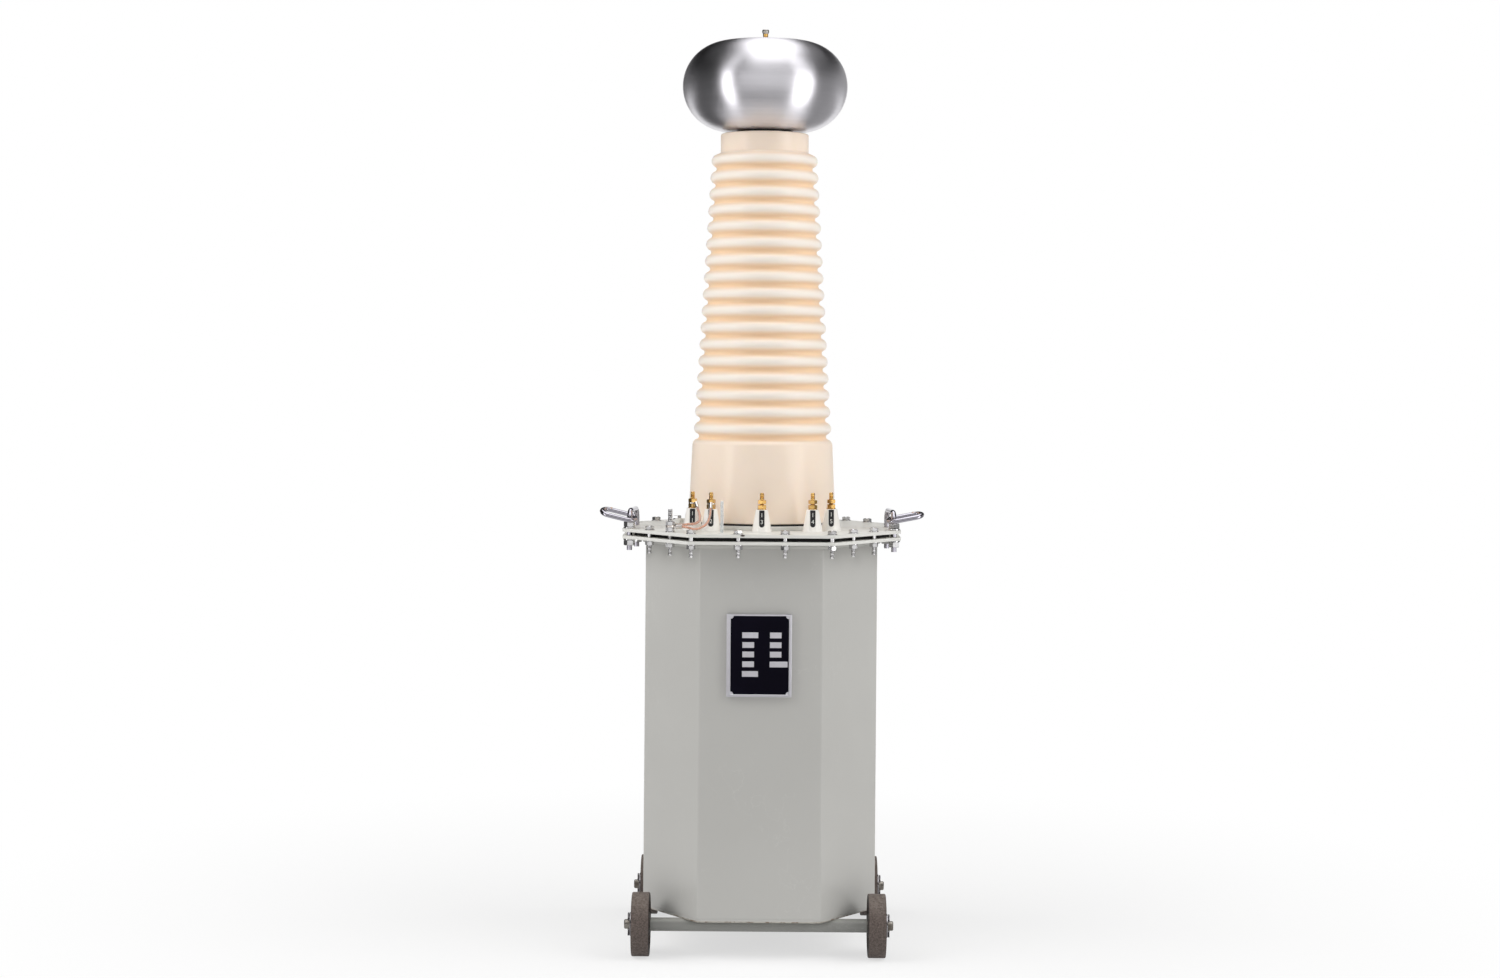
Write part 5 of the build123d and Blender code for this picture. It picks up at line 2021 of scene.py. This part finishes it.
@dataclass
class SmallFittings:
    """Oil filler plug and the clear upright tube."""

    plug_place: Place = (-0.109, 0.018, 0.0)
    plug_radius: float = 0.007
    plug_flats: float = 0.011
    plug_seat: float = 0.0015
    plug_height: float = 0.0085
    tube_place: Place = (-0.0505, -0.143, 0.0)
    tube_radius: float = 0.0021
    tube_bore: float = 0.0011
    tube_height: float = 0.0395

    def build(self) -> None:
        """Adds the plug and the tube."""
        dress(Look.LID_ENAMEL, "oil_filler_plug")
        dress(Look.CLEAR_TUBE, "level_tube")
        low, place = LID_TOP, Matrix.Translation(self.plug_place)
        seat = low + self.plug_seat
        plug = [disc(self.plug_radius, low, seat, edge=0.0003, segments=48, place=place),
                hexagon(self.plug_flats, seat, low + self.plug_height, place=place)]
        piece("filler_plug_head", merged("plug", plug), Look.LID_ENAMEL,
              replaces=["oil_filler_plug"])
        outer, bore = self.tube_radius, self.tube_bore
        lip = (outer - bore) / 2
        top = arc(((outer + bore) / 2, low + self.tube_height - lip), lip, 0, 180, 8)
        tube = turned("tube", [(bore, low), (outer, low), *top], 40, closed=True,
                      place=Matrix.Translation(self.tube_place))
        piece("sight_tube", tube, Look.CLEAR_TUBE, replaces=["level_tube"])


@dataclass
class Studio:
    """Camera, soft lamps, pale floor and white surroundings."""

    image: Point = (1500, 978)
    optical_axis: Point = (763.0, 370.0)
    lens: float = 62.4
    distance: float = 3.432
    eye_height: float = 0.745
    roll: float = -0.45
    aim: Place = (0.0, 0.0, 0.6)
    lamps: tuple[tuple[str, Place, Point, float], ...] = (
        ("left_box", (-2.6, -0.75, 2.3), (3.2, 2.6), 71.0),
        ("right_box", (2.6, -0.75, 2.3), (3.2, 2.6), 69.0),
        ("lens_box", (0.0, -4.2, 2.2), (1.6, 1.6), 7.0),
        ("top_box", (0.0, -0.6, 3.4), (2.6, 2.0), 9.0))
    bands: tuple[Place, ...] = ((-62.0, -48.0, 3.6), (42.0, 71.0, 3.0))
    band_edge: float = 3.0
    even_light: float = 0.3

    def camera(self) -> None:
        """Level camera at the photograph's place."""
        data = bpy.data.cameras.new("camera")
        data.sensor_width = 36.0
        data.lens = self.lens
        data.shift_x = (self.image[0] / 2 - self.optical_axis[0]) / self.image[0]
        data.shift_y = -(self.image[1] / 2 - self.optical_axis[1]) / self.image[0]
        data.clip_end = 50
        made = in_scene("camera", data)
        made.location = (0.0, -self.distance, self.eye_height)
        made.rotation_euler = (math.radians(90), math.radians(self.roll), 0.0)
        bpy.context.scene.camera = made

    def lamp(self, name: str, place: Place, size: Point, power: float) -> None:
        """Adds one soft box that looks at the tank's middle and leaves gloss to the surroundings.

        Args:
            name: its name.
            place: where it hangs.
            size: its width and height.
            power: its power in watts.
        """
        data = bpy.data.lights.new(name, "AREA")
        data.shape = "RECTANGLE"
        data.size, data.size_y = size
        data.energy = power
        made = in_scene(name, data)
        made.location = place
        made.rotation_euler = (Vector(self.aim) - Vector(place)).to_track_quat("-Z", "Y").to_euler()
        made.visible_glossy = False

    def soft_boxes(self, hand: TreeHand, x: Wire, y: Wire, ground: float) -> Wire:
        """Brightness of the tall soft boxes and the dark sides, by compass direction.

        Args:
            hand: tree that gets the nodes.
            x: sideways part of the direction.
            y: part of the direction that leads away from the camera.
            ground: brightness straight towards the camera.

        Returns:
            The brightness.
        """
        azimuth = hand.maths("DEGREES", hand.maths("ARCTAN2", x, y * -1.0))
        edge = self.band_edge
        return hand.most(
            hand.between(azimuth, (-42.0, -34.0), (34.0, 42.0), ground),
            hand.span(azimuth, -70.0, 120.0, 0.1, 0.34),
            *(hand.between(azimuth, (start - edge, start + edge), (end - edge, end + edge), strength)
              for start, end, strength in self.bands))

    def room(self, hand: TreeHand) -> Wire:
        """Brightness that gloss sees: soft boxes, a ceiling panel, a darker room and the backdrop.

        Args:
            hand: tree that gets the nodes.

        Returns:
            The brightness.
        """
        x, y, z = hand.split_xyz(hand.read("ShaderNodeTexCoord", "Generated"))
        gap = hand.most(hand.span(z, 0.28, 0.33, 1.0, 0.03), hand.span(z, 0.56, 0.62, 0.03, 0.6))
        panel = hand.between(x, (-0.34, -0.2), (0.34, 0.5)) * hand.span(z, 0.74, 0.86, 0.0, 2.5)
        backdrop = hand.span(y, 0.92, 0.99, smooth=True) * hand.span(x, -0.4, -0.1, 0.15, 1.0)
        return hand.most(self.soft_boxes(hand, x, y, 1.1) * gap, panel, backdrop)

    def seen(self, hand: TreeHand) -> tuple[Wire, Wire]:
        """Returns the masks of straight sight, also through clear skins, and of sight and gloss.

        Args:
            hand: tree that gets the nodes.

        Returns:
            The two masks.
        """
        path = hand.outputs(hand.node("ShaderNodeLightPath"))
        through = hand.most(path["Is Camera Ray"], path["Is Transmission Ray"])
        return through, hand.most(through, path["Is Glossy Ray"])

    def world(self) -> None:
        """White surroundings for sight, the studio room for gloss, an even soft level for the rest."""
        world = bpy.data.worlds.new("studio")
        world.use_nodes = True
        world.node_tree.nodes.clear()
        hand = TreeHand(world.node_tree)
        through, seen = self.seen(hand)
        even, bright = (
            hand.read("ShaderNodeBackground", 0, {"Color": (1, 1, 1, 1), "Strength": strength})
            for strength in (self.even_light, hand.most(through, self.room(hand))))
        mixed = hand.read("ShaderNodeMixShader", 0, {0: seen, 1: even, 2: bright})
        hand.node("ShaderNodeOutputWorld", {"Surface": mixed})
        bpy.context.scene.world = world

    def floor(self) -> None:
        """Pale floor that keeps the shadow and meets the white surroundings."""
        mesh = bpy.data.meshes.new("floor")
        mesh.from_pydata([(-9, -6, 0), (9, -6, 0), (9, 12, 0), (-9, 12, 0)], [], [(0, 1, 2, 3)])
        material = bpy.data.materials.new("floor_white")
        material.use_nodes = True
        material.node_tree.nodes.clear()
        mesh.materials.append(material)
        hand = TreeHand(material.node_tree)
        through, seen = self.seen(hand)
        aside, away, _ = hand.split_xyz(hand.place())
        spread = hand.vector("LENGTH", hand.place(), output="Value")
        near = hand.span(away, -0.95, -0.75, 0.03, 0.75) * hand.span(spread, 0.7, 1.2, 1.0, 0.15)
        paper = hand.most(
            near, self.soft_boxes(hand, aside, away, 0.05) * hand.span(spread, 0.8, 1.3),
            hand.span(away, -3.6, -3.2, 1.0, 0.0), hand.span(away, 2.0, 3.5))
        matt = hand.read("ShaderNodeBsdfDiffuse", 0, {"Color": (0.93, 0.93, 0.93, 1)})
        white = hand.read("ShaderNodeEmission", 0, {
            "Color": (1, 1, 1, 1), "Strength": hand.most(through, paper)})
        share = seen * hand.span(spread, 0.25, 1.3, 0.62, 1.0, smooth=True)
        mixed = hand.read("ShaderNodeMixShader", 0, {0: share, 1: matt, 2: white})
        hand.node("ShaderNodeOutputMaterial", {"Surface": mixed})
        in_scene("floor", mesh)

    def build(self) -> None:
        """Adds the camera, the lamps, the world and the floor."""
        bpy.context.scene.view_settings.view_transform = "Standard"
        self.camera()
        for lamp in self.lamps:
            self.lamp(*lamp)
        self.world()
        self.floor()


def main() -> None:
    """Builds the whole set in order."""
    logging.basicConfig(level=logging.INFO, format="%(message)s")
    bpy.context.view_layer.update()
    Studio().build()
    tank = Tank()
    tank.build()
    Bushing().build()
    Electrode().build()
    fasteners = LidFasteners(tank)
    fasteners.build()
    Terminals().build()
    EarthConnection(fasteners.earth_place()).build()
    LiftingGear().build()
    Nameplate().build()
    RunningGear().build()
    SmallFittings().build()


if __name__ == "__main__":
    main()
